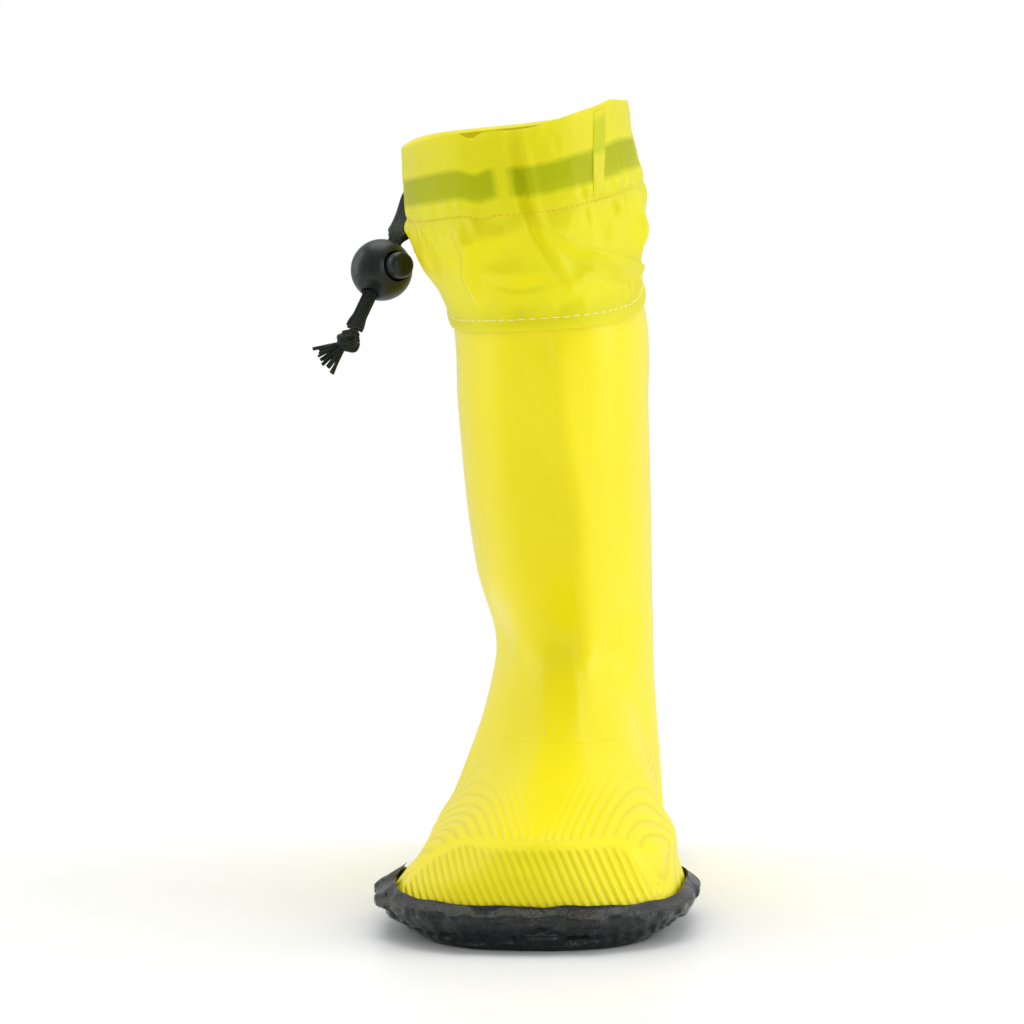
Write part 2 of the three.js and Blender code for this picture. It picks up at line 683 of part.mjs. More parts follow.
function tailKnot() {
  const geometry = new THREE.SphereGeometry(KNOT_RADIUS, 16, 10);
  geometry.scale(1, 0.9, 1.1);
  return geometry.translate(KNOT_PLACE.x, KNOT_PLACE.y, KNOT_PLACE.z);
}

// A flat fan of frayed ribs below the knot.
function frayedEnd() {
  const ribs = 6;
  const inner = 2;
  const outer = 8.6;
  const opening = 1.1;
  const shape = new THREE.Shape();
  shape.moveTo(inner * Math.cos(-opening / 2), inner * Math.sin(-opening / 2));
  for (let rib = 0; rib < ribs; rib += 1) {
    const from = -opening / 2 + (opening * rib) / ribs;
    const to = from + (opening * 0.72) / ribs;
    const valley = -opening / 2 + (opening * (rib + 1)) / ribs;
    const reach = outer - 0.7 * (rib % 2);
    shape.lineTo(reach * Math.cos(from), reach * Math.sin(from));
    shape.lineTo(reach * Math.cos(to), reach * Math.sin(to));
    if (rib < ribs - 1) shape.lineTo(outer * 0.6 * Math.cos(valley), outer * 0.6 * Math.sin(valley));
  }
  shape.lineTo(inner * Math.cos(opening / 2), inner * Math.sin(opening / 2));
  const geometry = new THREE.ExtrudeGeometry(shape, { depth: BAND_WALL, bevelEnabled: false });
  geometry.translate(0, 0, -BAND_WALL / 2);
  geometry.rotateX(Math.PI / 2);
  geometry.rotateY(2.45);
  const away = new THREE.Vector3(-0.78, 0, -0.62);
  const start = KNOT_PLACE.clone().addScaledVector(away, KNOT_RADIUS * 1.1 + GAP - inner);
  return geometry.translate(start.x, start.y, start.z);
}

// ---- materials ----

function material(color, roughness, metalness = 0) {
  return new THREE.MeshStandardMaterial({ color, roughness, metalness });
}

const yellowRubber = () => material(0xf0e020, 0.3);
const ribbedRubber = () => material(0xe4d41c, 0.45);
const blackRubber = () => material(0x202325, 0.55);
const nylon = () => material(0xf2e628, 0.5);
const cotton = () => material(0xd8cf9a, 0.9);
const foam = () => material(0x4a4a46, 0.95);
const board = () => material(0xb09a70, 0.9);
const thread = () => material(0xe6e08a, 0.8);
const elastic = () => material(0x151816, 0.75);
const blackPlastic = () => material(0x14191a, 0.4);
const steel = () => material(0xb8bcc0, 0.3, 1);

// ---- the boot ----

function named(name, geometry, look) {
  const mesh = new THREE.Mesh(geometry, look);
  mesh.name = name;
  return mesh;
}

const boot = new THREE.Group();
boot.add(
  named("outsole", outsole(), blackRubber()),
  named("foxing_strip", foxingStrip(), blackRubber()),
  named("toe_bumper", toeBumper(), blackRubber()),
  named("sponge_filler", spongeFiller(), foam()),
  named("insole_board", insoleBoard(), board()),
  named("sockliner", sockliner(), foam()),
  named("vamp", vamp(), ribbedRubber()),
  named("shaft", shaft(), yellowRubber()),
  named("joint_tape", jointTape(), cotton()),
  named("heel_patch", heelPatch(), ribbedRubber()),
  named("back_seam_strip", backSeamStrip(), yellowRubber()),
  named("lining", lining(), cotton()),
  named("seam_tape", seamTape(), cotton()),
  named("gaiter", gaiter(), nylon()),
  named("channel_stitching", threadRing(CHANNEL_AT), thread()),
  named("hem_stitching", threadRing(0.06), thread()),
  named("side_seam", sideSeam(), nylon()),
  named("buttonhole_stitching", buttonholeStitching(), thread()),
  named("drawband", drawband(), elastic()),
  named("tail_strand_front", tailStrand(-1), elastic()),
  named("tail_strand_rear", tailStrand(1), elastic()),
  named("tail_knot", tailKnot(), elastic()),
  named("frayed_end", frayedEnd(), elastic()),
  named("cord_lock_ball", cordLockBall(), blackPlastic()),
  named("cord_lock_plunger", cordLockPlunger(), blackPlastic()),
  named("cord_lock_spring", cordLockSpring(), steel()),
);

export default boot;
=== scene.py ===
"""A child's right rubber rain boot: ribbed foot, smooth leg, nylon collar with a drawband and a cord lock."""

import math

import bmesh
import bpy
import numpy as np
from mathutils import Matrix, Vector


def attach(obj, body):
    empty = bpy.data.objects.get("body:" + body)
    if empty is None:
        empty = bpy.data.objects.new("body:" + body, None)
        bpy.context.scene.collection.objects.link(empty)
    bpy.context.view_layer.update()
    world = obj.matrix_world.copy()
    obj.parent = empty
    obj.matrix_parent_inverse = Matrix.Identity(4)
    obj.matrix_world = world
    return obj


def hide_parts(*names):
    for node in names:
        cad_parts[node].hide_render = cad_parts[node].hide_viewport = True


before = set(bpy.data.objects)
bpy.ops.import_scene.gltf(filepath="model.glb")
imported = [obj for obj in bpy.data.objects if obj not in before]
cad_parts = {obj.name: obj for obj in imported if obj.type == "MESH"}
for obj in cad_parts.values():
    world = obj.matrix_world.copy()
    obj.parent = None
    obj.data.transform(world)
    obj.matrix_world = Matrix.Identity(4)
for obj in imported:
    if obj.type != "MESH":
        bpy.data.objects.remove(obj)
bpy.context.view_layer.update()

MM = 0.001

# ---- sizes, in mm ----

SOLE_LENGTH = 196
SOLE_WIDTH = 80
LEG_TOP = 159
COLLAR_HEIGHT = 48
INSTEP_HEIGHT = 88
LEG_WIDTH = 52.6
LEG_DEPTH = 94
FLANGE = 3.6
FOOT_LENGTH = SOLE_LENGTH - 2 * FLANGE
BOTTOM = 4.3
INSIDE_BOTTOM = 8.6
HEEL_ROUNDING = 0.2
TOE_ROUNDING = 0.17
RUBBER_WALL = 1.6
LINING_INSET = 3.7
LINING_WALL = 0.7
NYLON_WALL = 0.6
PLY = 0.3
GAP = 0.3
HEM_OVERLAP = 8
CHANNEL_AT = 0.58
CHANNEL_DEPTH = 1.8
COLLAR_BULGE = 5
BAND_AT = 0.76
BAND_WIDTH = 6.5
BAND_WALL = 1.1
BALL_RADIUS = 8.5
CORD_HOLE = 4.4
PINCHED_WIDTH = 3.6
CURLED_WIDTH = 4.6
PLUNGER_DIAMETER = 7.3
PLUNGER_REACH = 11.6
BORE_END = 6.9
LOCK_RISE = 2
LOCK_DROP = 7

BALL_PLACE = Vector((-46.8, 13, 168.5))
CORD_DIRECTION = Vector((0.34, 0.42, 0.842)).normalized()
PLUNGER_DIRECTION = Vector((0.71, -0.66, 0.26))
PLUNGER_DIRECTION -= CORD_DIRECTION * PLUNGER_DIRECTION.dot(CORD_DIRECTION)
PLUNGER_DIRECTION.normalize()
KNOT_PLACE = Vector((-54.7, 3.2, 148.9))
TAIL_ROUTE = [
    (-34.5, 34.7, 197.1),
    (-37.4, 35.5, 196.3),
    (-40.0, 32.6, 190.2),
    (-41.6, 25.8, 182.8),
    (-43.4, 17.2, 176.9),
    (-46.8, 13.0, 168.5),
    (-49.7, 9.4, 161.3),
    (-53.3, 4.9, 152.3),
]

# ---- the camera ----


def link(name, data):
    piece = bpy.data.objects.new(name, data)
    bpy.context.scene.collection.objects.link(piece)
    return piece


CAMERA_PLACE = (0.0558, -0.79805, 0.130)
CAMERA_TILT = -1.97
CAMERA_TURN = 4.696
CAMERA_LENS = 104.2
SENSOR_WIDTH = 36
NEAR_CLIP = 0.05


def make_camera():
    camera = link("camera", bpy.data.cameras.new("camera"))
    camera.data.lens = CAMERA_LENS
    camera.data.sensor_width = SENSOR_WIDTH
    camera.data.clip_start = NEAR_CLIP
    camera.location = CAMERA_PLACE
    camera.rotation_euler = (math.radians(90 + CAMERA_TILT), 0, math.radians(CAMERA_TURN))
    bpy.context.scene.camera = camera


make_camera()

# ---- the boot's skin, the same curves as its solids ----

OUTER_EDGE = [[0, 0.42], [0.14, 0.44], [0.33, 0.475], [0.52, 0.42], [0.68, 0.36], [0.85, 0.345], [1, 0.32]]
INNER_EDGE = [[0, 0.44], [0.14, 0.455], [0.3, 0.465], [0.48, 0.37], [0.62, 0.315], [0.85, 0.345], [1, 0.32]]
TOP_LINE = [
    [0, 0.2], [0.02, 0.29], [0.09, 0.355], [0.2, 0.425], [0.3, 0.51], [0.4, 0.65],
    [0.5, 0.82], [0.68, 1], [0.8, 0.95], [0.9, 0.75], [0.97, 0.48], [1, 0.2],
]
OUTER_FULLNESS = [[0, 2.6], [0.15, 1.7], [0.33, 1.15], [0.5, 1.2], [0.7, 1.3], [0.85, 1.6], [1, 2.4]]
INNER_FULLNESS = [[0, 3], [0.15, 2.7], [0.33, 2.3], [0.5, 2], [0.7, 1.9], [1, 2.4]]
LEG_AXIS_X = [[0.3, 5.7], [0.4, 5.7], [0.55, 2.6], [0.82, 0.4], [0.96, 0], [1.12, -5.2], [1.3, -9.5]]
LEG_AXIS_Y = [[0.3, 35], [0.4, 35], [0.55, 28], [0.82, 17], [0.96, 12], [1.12, 6], [1.3, 0]]
LEG_WIDTH_SHARE = [[0.25, 0.82], [0.4, 0.8], [0.55, 0.935], [0.82, 1], [1.3, 1.03]]
LEG_DEPTH_SHARE = [[0.25, 0.93], [0.4, 0.92], [0.55, 0.96], [0.82, 1], [1.3, 0.99]]


def between(stations, at):
    """A smooth curve through the stations, flat beyond both ends."""
    x, y = np.array(stations, float).T
    last = len(x) - 1
    low = np.maximum(np.arange(last + 1) - 1, 0)
    high = np.minimum(np.arange(last + 1) + 1, last)
    slope = (y[high] - y[low]) / (x[high] - x[low])
    at = np.clip(np.asarray(at, float), x[0], x[-1])
    i = np.clip(np.searchsorted(x, at, side="right") - 1, 0, last - 1)
    span = x[i + 1] - x[i]
    t = (at - x[i]) / span
    rise = y[i + 1] - y[i]
    c = 3 * rise - span * (2 * slope[i] + slope[i + 1])
    d = span * (slope[i] + slope[i + 1]) - 2 * rise
    return y[i] + t * (span * slope[i] + t * (c + t * d))


def rounded_end(share, length):
    t = np.clip(share / length, 0, 1)
    return np.power(np.maximum(0, 1 - np.power(1 - t, 2.4)), 1 / 2.4)


def edge_at(t, outer, inset):
    shrunk = (t * FOOT_LENGTH - inset) / (FOOT_LENGTH - 2 * inset)
    width = SOLE_WIDTH * np.where(outer, between(OUTER_EDGE, t), between(INNER_EDGE, t)) - inset
    rounded = width * rounded_end(shrunk, HEEL_ROUNDING) * rounded_end(1 - shrunk, TOE_ROUNDING)
    return np.where((shrunk <= 0) | (shrunk >= 1), 0, rounded)


def inside_foot(x, y, z, inset):
    t = y / FOOT_LENGTH + 0.5
    outer = x < 0
    top = INSTEP_HEIGHT * between(TOP_LINE, t) - inset
    fullness = np.where(outer, between(OUTER_FULLNESS, t), between(INNER_FULLNESS, t))
    low = np.clip(z / np.maximum(top, 0.01), 0, 1)
    narrowing = np.power(np.maximum(1 - np.power(low, fullness), 0), 1 / fullness)
    return (z < top) & (np.abs(x) < edge_at(t, outer, inset) * narrowing)


def leg_axis(z):
    share = z / LEG_TOP
    return between(LEG_AXIS_X, share), between(LEG_AXIS_Y, share)


def foot_reach(angle, z, inset, ax, ay):
    near = np.zeros(angle.shape)
    far = np.full(angle.shape, float(SOLE_LENGTH))
    for _ in range(17):
        middle = (near + far) / 2
        inside = inside_foot(ax + np.sin(angle) * middle, ay - np.cos(angle) * middle, z, inset)
        near = np.where(inside, middle, near)
        far = np.where(inside, far, middle)
    return near


def skin_reach(angle, z, inset):
    angle, z, inset = np.broadcast_arrays(*(np.asarray(value, float) for value in (angle, z, inset)))
    ax, ay = leg_axis(z)
    foot = foot_reach(angle, z, inset, ax, ay)
    if np.any((z > 14) & (z < 100)):
        beside = foot_reach(angle - 0.16, z, inset, ax, ay) + foot_reach(angle + 0.16, z, inset, ax, ay)
        rounding = 0.5 * ramp(z, 14, 26) * ramp(np.cos(angle), 0.2, 0.7)
        foot = foot + (beside / 2 - foot) * rounding
    share = z / LEG_TOP
    half_width = LEG_WIDTH / 2 * between(LEG_WIDTH_SHARE, share) - inset
    half_depth = LEG_DEPTH / 2 * between(LEG_DEPTH_SHARE, share) - inset
    leg = 1 / np.hypot(np.sin(angle) / half_width, np.cos(angle) / half_depth)
    blend = 7
    return (foot + leg + np.hypot(foot - leg, blend)) / 2 - blend * 0.1


def skin(angle, z, inset):
    """Points of the boot's skin, moved inwards. Angle 0 is the toe, a quarter turn the inner side."""
    reach = skin_reach(angle, z, inset)
    angle, z = np.broadcast_arrays(angle, z)
    ax, ay = leg_axis(z)
    return np.stack([ax + reach * np.sin(angle), ay - reach * np.cos(angle), z + 0 * reach], axis=-1)


def columns(count, crowding):
    """Angles all round the boot, from the back, closer together at the toe."""
    turn = np.linspace(-math.pi, math.pi, count, endpoint=False)
    return turn - crowding * np.sin(turn)


def sloped(angle, middle, back_rise, inner_rise):
    return middle - back_rise / 2 * np.cos(angle) + inner_rise / 2 * np.sin(angle)


def hem_height(angle):
    return sloped(angle, LEG_TOP, 17, 5)


def rim_height(angle):
    """Nearly level over the front, then steep up to the corner over the side seam."""
    corner = 2.9 * np.exp(-np.abs((angle - 0.88) / 0.5) ** 1.4)
    front = 2.0 * np.exp(-(((angle - 0.1) / 0.25) ** 2))
    dip = 1.8 * np.exp(-(((angle + 0.17) / 0.06) ** 2))
    return sloped(angle, LEG_TOP + COLLAR_HEIGHT, 10, 11) + corner - front - dip


def rubber_top(angle):
    return hem_height(angle) + HEM_OVERLAP


def vamp_top(angle):
    return sloped(angle, 52, 16, 0)


def even_rows(angle, low, high, rows, crowding):
    """Heights from low to high, rows by columns, with even steps along the skin."""
    fine = np.linspace(0, 1, 61)[:, None]
    heights = low + (high - low) * fine
    points = skin(angle[None, :], heights, 0)
    steps = np.linalg.norm(np.diff(points, axis=0), axis=2)
    run = np.concatenate([np.zeros((1, len(angle))), np.cumsum(steps, axis=0)])
    wanted = np.power(np.linspace(0, 1, rows), crowding)
    found = [np.interp(wanted * run[-1, c], run[:, c], heights[:, c]) for c in range(len(angle))]
    return np.stack(found, axis=1)


def run_along(points):
    """Distance along a line of points."""
    return np.concatenate([[0], np.cumsum(np.linalg.norm(np.diff(points, axis=0), axis=1))])


def wobble(around, up, count, cell, seed):
    """Smooth random relief between -1 and 1, which closes after one turn: around runs from 0 to 1."""
    rows = 97
    table = np.random.default_rng(seed).uniform(-1, 1, (count, rows))
    x = np.asarray(around) * count
    y = np.asarray(up) / cell
    i = np.floor(x).astype(int)
    j = np.floor(y).astype(int)
    fx = x - i
    fy = y - j
    fx = fx * fx * (3 - 2 * fx)
    fy = fy * fy * (3 - 2 * fy)
    low = table[i % count, j % rows] * (1 - fx) + table[(i + 1) % count, j % rows] * fx
    high = table[i % count, (j + 1) % rows] * (1 - fx) + table[(i + 1) % count, (j + 1) % rows] * fx
    return low * (1 - fy) + high * fy


def bell(x, width):
    return np.exp(-((x / width) ** 2))


def ramp(x, low, high):
    t = np.clip((x - low) / (high - low), 0, 1)
    return t * t * (3 - 2 * t)


def crease(across, up, path, width, height, lean=0.0):
    """A ridge, or a valley if its height is negative, along a path of (across, up) points."""
    spots = np.array(path, float)
    start = run_along(spots)
    best = np.full(np.broadcast(across, up).shape, 1e9)
    side = np.zeros(best.shape)
    along = np.zeros(best.shape)
    for i, length in enumerate(np.diff(start)):
        dx, dy = (spots[i + 1] - spots[i]) / length
        rx = across - spots[i, 0]
        ry = up - spots[i, 1]
        s = np.clip(rx * dx + ry * dy, 0, length)
        away = np.hypot(rx - s * dx, ry - s * dy)
        closer = away < best
        best = np.where(closer, away, best)
        side = np.where(closer, np.sign(dx * ry - dy * rx), side)
        along = np.where(closer, (start[i] + s) / start[-1], along)
    wide = width * np.where(side > 0, 1 + lean, 1 - lean)
    fade = np.sqrt(np.clip(np.sin(np.pi * np.clip(along, 0.02, 0.98)), 0, 1))
    return height * fade * np.exp(-((best / wide) ** 2))


# ---- meshes ----


def mesh_of(name, points, faces, uv=None, sharp=None):
    """points in mm; uv has one pair for each corner of each face."""
    mesh = bpy.data.meshes.new(name)
    mesh.from_pydata((np.asarray(points) * MM).tolist(), [], [list(map(int, f)) for f in faces])
    if uv is not None:
        layer = mesh.uv_layers.new(name="Sheet")
        layer.data.foreach_set("uv", np.asarray(uv, np.float32).ravel())
    mesh.shade_smooth()
    if sharp is not None:
        mesh.set_sharp_from_angle(angle=math.radians(sharp))
    return link(name, mesh)


def grid_faces(rows, cols, ring):
    """Faces of a grid of points, and the places of their corners in the grid."""
    r, c = np.meshgrid(np.arange(rows - 1), np.arange(cols if ring else cols - 1), indexing="ij")
    n = (c + 1) % cols
    corners = np.stack([r * cols + c, r * cols + n, (r + 1) * cols + n, (r + 1) * cols + c], axis=-1)
    places = np.stack([np.stack(spot, -1) for spot in ((r, c), (r, c + 1), (r + 1, c + 1), (r + 1, c))], 2)
    return corners.reshape(-1, 4), places.reshape(-1, 4, 2)


def shell(name, outer, inner, ring=True, uv=None, sharp=60):
    """A closed wall between two grids of points, rows by columns. A ring's uv grid has one more column."""
    rows, cols = outer.shape[:2]
    total = rows * cols
    points = np.concatenate([outer.reshape(-1, 3), inner.reshape(-1, 3)])
    front, places = grid_faces(rows, cols, ring)
    faces = [front, front[:, ::-1] + total]
    spots = [places, places[:, ::-1]]

    def close_edge(starts, ends, order):
        """Faces between the two grids along an edge, whose steps go from the starts to the ends."""
        a, b = (r * cols + c % cols for r, c in (starts, ends))
        corners = np.stack([a, b, b + total, a + total], -1)
        marks = np.stack([np.stack(place, -1) for place in (starts, ends, ends, starts)], 1)
        faces.append(corners[:, order])
        spots.append(marks[:, order])

    forward = [0, 1, 2, 3]
    backward = [0, 3, 2, 1]
    c = np.arange(cols if ring else cols - 1)
    close_edge((0 * c, c), (0 * c, c + 1), backward)
    close_edge((0 * c + rows - 1, c), (0 * c + rows - 1, c + 1), forward)
    if not ring:
        r = np.arange(rows - 1)
        close_edge((r, 0 * r), (r + 1, 0 * r), forward)
        close_edge((r, 0 * r + cols - 1), (r + 1, 0 * r + cols - 1), backward)
    coordinates = None
    if uv is not None:
        spots = np.concatenate(spots)
        coordinates = uv[spots[..., 0], spots[..., 1]]
    return mesh_of(name, points, np.concatenate(faces), coordinates, sharp)


def tube(name, loops, uv=None, sharp=60):
    """A closed body through loops of points, loops by points, with both ends capped by one face."""
    loops = np.array(loops)
    count, size = loops.shape[:2]
    sides, places = grid_faces(count, size, True)
    end = np.arange(size)
    faces = sides.tolist() + [end[::-1].tolist(), (end + (count - 1) * size).tolist()]
    coordinates = None
    if uv is not None:
        uv = np.array(uv)
        spots = places.reshape(-1, 2)
        coordinates = np.concatenate([uv[spots[:, 0], spots[:, 1]], uv[0, :size][::-1], uv[-1, :size]])
    piece = mesh_of(name, loops.reshape(-1, 3), faces, coordinates, sharp)
    face_outward(piece)
    return piece


def face_outward(piece):
    work = bmesh.new()
    work.from_mesh(piece.data)
    bmesh.ops.recalc_face_normals(work, faces=work.faces[:])
    if work.calc_volume(signed=True) < 0:
        bmesh.ops.reverse_faces(work, faces=work.faces[:])
    work.to_mesh(piece.data)
    work.free()


def join(name, pieces):
    """One piece from several, the first one's mesh and materials first."""
    bpy.ops.object.select_all(action="DESELECT")
    for piece in pieces:
        piece.select_set(True)
    bpy.context.view_layer.objects.active = pieces[0]
    bpy.ops.object.join()
    pieces[0].name = name
    return pieces[0]


def lathe(name, profile, direction, place, sides):
    """A turned body from (radius, height) points, along a direction from a place, both in mm."""
    turn = Vector((0, 0, 1)).rotation_difference(direction).to_matrix()
    angles = np.linspace(0, 2 * math.pi, sides, endpoint=False)
    loops = []
    for radius, height in profile:
        ring = [Vector((radius * math.cos(angle), radius * math.sin(angle), height)) for angle in angles]
        loops.append([list(place + turn @ point) for point in ring])
    return tube(name, loops, None, 35)


def settled(name, piece):
    """The piece as its modifiers leave it, as a plain mesh that takes its place."""
    bpy.context.view_layer.update()
    mesh = bpy.data.meshes.new_from_object(piece.evaluated_get(bpy.context.evaluated_depsgraph_get()))
    bpy.data.objects.remove(piece)
    mesh.name = name
    return link(name, mesh)


def carve(piece, tools, name):
    """Cuts the tools out of the piece and removes them."""
    for tool in tools:
        cut = piece.modifiers.new("cut", "BOOLEAN")
        cut.operation = "DIFFERENCE"
        cut.solver = "EXACT"
        cut.object = tool
    carved = settled(name, piece)
    for tool in tools:
        bpy.data.objects.remove(tool)
    carved.data.shade_smooth()
    carved.data.set_sharp_from_angle(angle=math.radians(32))
    return carved


def add_node(tree, kind, inputs, **options):
    """A new node with its options set and its inputs filled: a value is set, an output is linked."""
    node = tree.nodes.new(kind)
    for key, value in options.items():
        setattr(node, key, value)
    for key, value in inputs.items():
        if isinstance(value, bpy.types.NodeSocket):
            tree.links.new(value, node.inputs[key])
        else:
            node.inputs[key].default_value = value
    return node


# ---- materials ----


class Finish:
    """Builds a node material: each call makes a node and returns its main output."""

    def __init__(self, name):
        self.material = bpy.data.materials.new(name)
        self.material.use_nodes = True
        self.tree = self.material.node_tree
        self.tree.nodes.clear()
        self.output = self.tree.nodes.new("ShaderNodeOutputMaterial")
        self.place = self.tree.nodes.new("ShaderNodeTexCoord")

    def add(self, kind, inputs, **options):
        return add_node(self.tree, kind, inputs, **options)

    def object_place(self):
        return self.place.outputs["Object"]

    def sheet_axis(self, which):
        return self.axis(self.place.outputs["UV"], which)

    def stretch(self, vector, scale, turn=(0, 0, 0)):
        values = {"Vector": vector, "Scale": scale, "Rotation": turn}
        return self.add("ShaderNodeMapping", values).outputs["Vector"]

    def noise(self, vector, scale, detail=3.0, roughness=0.55, distortion=0.0):
        values = {"Vector": vector, "Scale": scale, "Detail": detail, "Roughness": roughness}
        values["Distortion"] = distortion
        return self.add("ShaderNodeTexNoise", values).outputs["Fac"]

    def cells(self, vector, scale):
        return self.add("ShaderNodeTexVoronoi", {"Vector": vector, "Scale": scale}).outputs["Distance"]

    def math(self, operation, a, b=0.0):
        return self.add("ShaderNodeMath", {0: a, 1: b}, operation=operation).outputs[0]

    def wave(self, value, pitch):
        return self.math("SINE", self.math("MULTIPLY", value, 2 * math.pi / pitch))

    def axis(self, vector, which):
        return self.add("ShaderNodeSeparateXYZ", {0: vector}).outputs[which]

    def span(self, value, low, high, to_low=0.0, to_high=1.0):
        values = {"Value": value, "From Min": low, "From Max": high, "To Min": to_low, "To Max": to_high}
        return self.add("ShaderNodeMapRange", values).outputs["Result"]

    def tint(self, factor, a, b):
        a, b = (color if isinstance(color, bpy.types.NodeSocket) else (*color, 1) for color in (a, b))
        return self.add("ShaderNodeMix", {0: factor, 6: a, 7: b}, data_type="RGBA").outputs[2]

    def bump(self, height, distance, strength=1.0, onto=None):
        values = {"Height": height, "Distance": distance, "Strength": strength}
        if onto is not None:
            values["Normal"] = onto
        return self.add("ShaderNodeBump", values).outputs["Normal"]

    def surface(self, **values):
        named = {key.replace("_", " "): value for key, value in values.items()}
        return self.add("ShaderNodeBsdfPrincipled", named).outputs[0]

    def blend(self, share, first, second):
        return self.add("ShaderNodeMixShader", {0: share, 1: first, 2: second}).outputs[0]

    def finish(self, shader):
        self.tree.links.new(shader, self.output.inputs["Surface"])
        return self.material

    def coat(self, **values):
        return self.finish(self.surface(**values))


YELLOW = (0.94, 0.83, 0.006)
DEEP_YELLOW = (0.90, 0.78, 0.004)


RIB_SHADE_YELLOW = (0.66, 0.56, 0.004)


def yellow_rubber(name, ribbed):
    """Glossy rubber. A ribbed piece's map holds the rib count and how deep the ribs are; the rib valleys
    carry a painted shade.
    """
    f = Finish(name)
    at = f.object_place()
    color = f.tint(f.span(f.noise(at, 14, 2), 0.35, 0.7), DEEP_YELLOW, YELLOW)
    rough = f.span(f.noise(at, 40, 2), 0.3, 0.7, 0.36, 0.42)
    normal = f.bump(f.noise(at, 900, 3), 0.00003, 0.3)
    if ribbed:
        depth = f.sheet_axis(1)
        ridge = f.math("POWER", f.span(f.wave(f.sheet_axis(0), 1), -1, 1), 0.7)
        # painted shade: the colour darkens towards a deeper yellow in the valleys between the ribs, as far as
        # the ribs are deep
        valley = f.math("MULTIPLY", f.span(ridge, 0.0, 0.55, 1.0, 0.0), depth)
        color = f.tint(f.math("MULTIPLY", valley, 0.4), color, RIB_SHADE_YELLOW)
        normal = f.bump(f.math("MULTIPLY", ridge, depth), 0.0005, 0.9, normal)
    else:
        high_up = f.span(f.axis(at, 2), 0.05, 0.075)
        rough = f.math("SUBTRACT", rough, f.math("MULTIPLY", high_up, 0.1))
    return f.coat(Base_Color=color, Roughness=rough, Normal=normal, IOR=1.5, Specular_IOR_Level=0.26)


def black_rubber():
    f = Finish("black sole rubber")
    at = f.object_place()
    creases = f.noise(f.stretch(at, (1, 1, 0.6)), 210, 5, 0.62, 0.8)
    fine = f.noise(at, 620, 4, 0.6, 0.3)
    grain = f.noise(at, 1500, 3)
    # patchy olive dust, partly painted light: the patches show more strongly up the sole's wall towards the
    # top of the lip, where light from above falls
    dust_and_top_light = f.math("MULTIPLY", f.span(f.noise(at, 110, 4), 0.45, 0.7), f.span(f.axis(at, 2), 0.006, 0.014))
    dusty_and_lit = f.tint(f.math("MULTIPLY", dust_and_top_light, 0.4), (0.006, 0.0075, 0.008), (0.045, 0.045, 0.016))
    scuffed = f.span(f.noise(at, 520, 5, 0.65), 0.63, 0.72, 0, 0.5)
    color = f.tint(scuffed, dusty_and_lit, (0.075, 0.08, 0.082))
    rough = f.span(creases, 0.35, 0.7, 0.16, 0.42)
    normal = f.bump(creases, 0.0011, 0.8, f.bump(fine, 0.0003, 0.6, f.bump(grain, 0.00006, 0.5)))
    return f.coat(Base_Color=color, Roughness=rough, Normal=normal, IOR=1.5, Specular_IOR_Level=0.4)


CREASE_AT = -1.6
BAND_SHADE_NYLON = (0.82, 0.92, 0.004)
NYLON_GLOW = (0.93, 0.86, 0.05, 1)
NYLON_TINT = (0.96, 0.93, 0.10, 1)


def thin_nylon(name, tone, see_through, glow, clear_rows):
    """Coated ripstop cloth. Dark shapes behind it show between the rows given, in mm up the cloth, where the
    cloth's colour also carries a painted shade of the dark band.
    """
    f = Finish(name)
    at = f.object_place()
    u = f.sheet_axis(0)
    v = f.sheet_axis(1)
    weave = f.math("MULTIPLY", f.wave(u, 0.32), f.wave(v, 0.32))
    crumple = f.noise(at, 260, 4, 0.6, 0.3)
    cloudy = f.noise(at, 30, 3)
    low, high = clear_rows
    rising = f.span(v, low - 1, low + 0.6)
    falling = f.span(v, high - 0.6, high + 1, 1.0, 0.0)
    beside_crease = f.span(f.math("ABSOLUTE", f.math("SUBTRACT", u, CREASE_AT)), 0.8, 3.2)
    # where the cloth lies over the band, except beside the centre crease; this sets the real see-through and
    # a painted shade of the band
    band_clear_and_shade = f.math("MULTIPLY", f.math("MULTIPLY", rising, falling), beside_crease)
    share = f.math("MULTIPLY", band_clear_and_shade, see_through)
    pale = (min(tone[0] * 1.06, 1), min(tone[1] * 1.06, 1), tone[2] * 1.5)
    plain = f.tint(f.span(cloudy, 0.3, 0.7), tone, pale)
    # painted shade: over the band the cloth's colour turns darker and greener, as if the dark elastic behind
    # it showed through
    color = f.tint(band_clear_and_shade, plain, BAND_SHADE_NYLON)
    normal = f.bump(weave, 0.00003, 0.5, f.bump(crumple, 0.0003, 0.4))
    cloth = f.surface(
        Base_Color=color, Roughness=0.3, Normal=normal, IOR=1.48, Specular_IOR_Level=0.32,
        Sheen_Weight=0.1, Sheen_Roughness=0.4, Sheen_Tint=(1.0, 0.92, 0.2, 1),
    )
    lit = f.add("ShaderNodeBsdfTranslucent", {"Color": NYLON_GLOW, "Normal": normal}).outputs[0]
    clear = f.add("ShaderNodeBsdfTransparent", {"Color": NYLON_TINT}).outputs[0]
    return f.finish(f.blend(share, f.blend(glow, cloth, lit), clear))


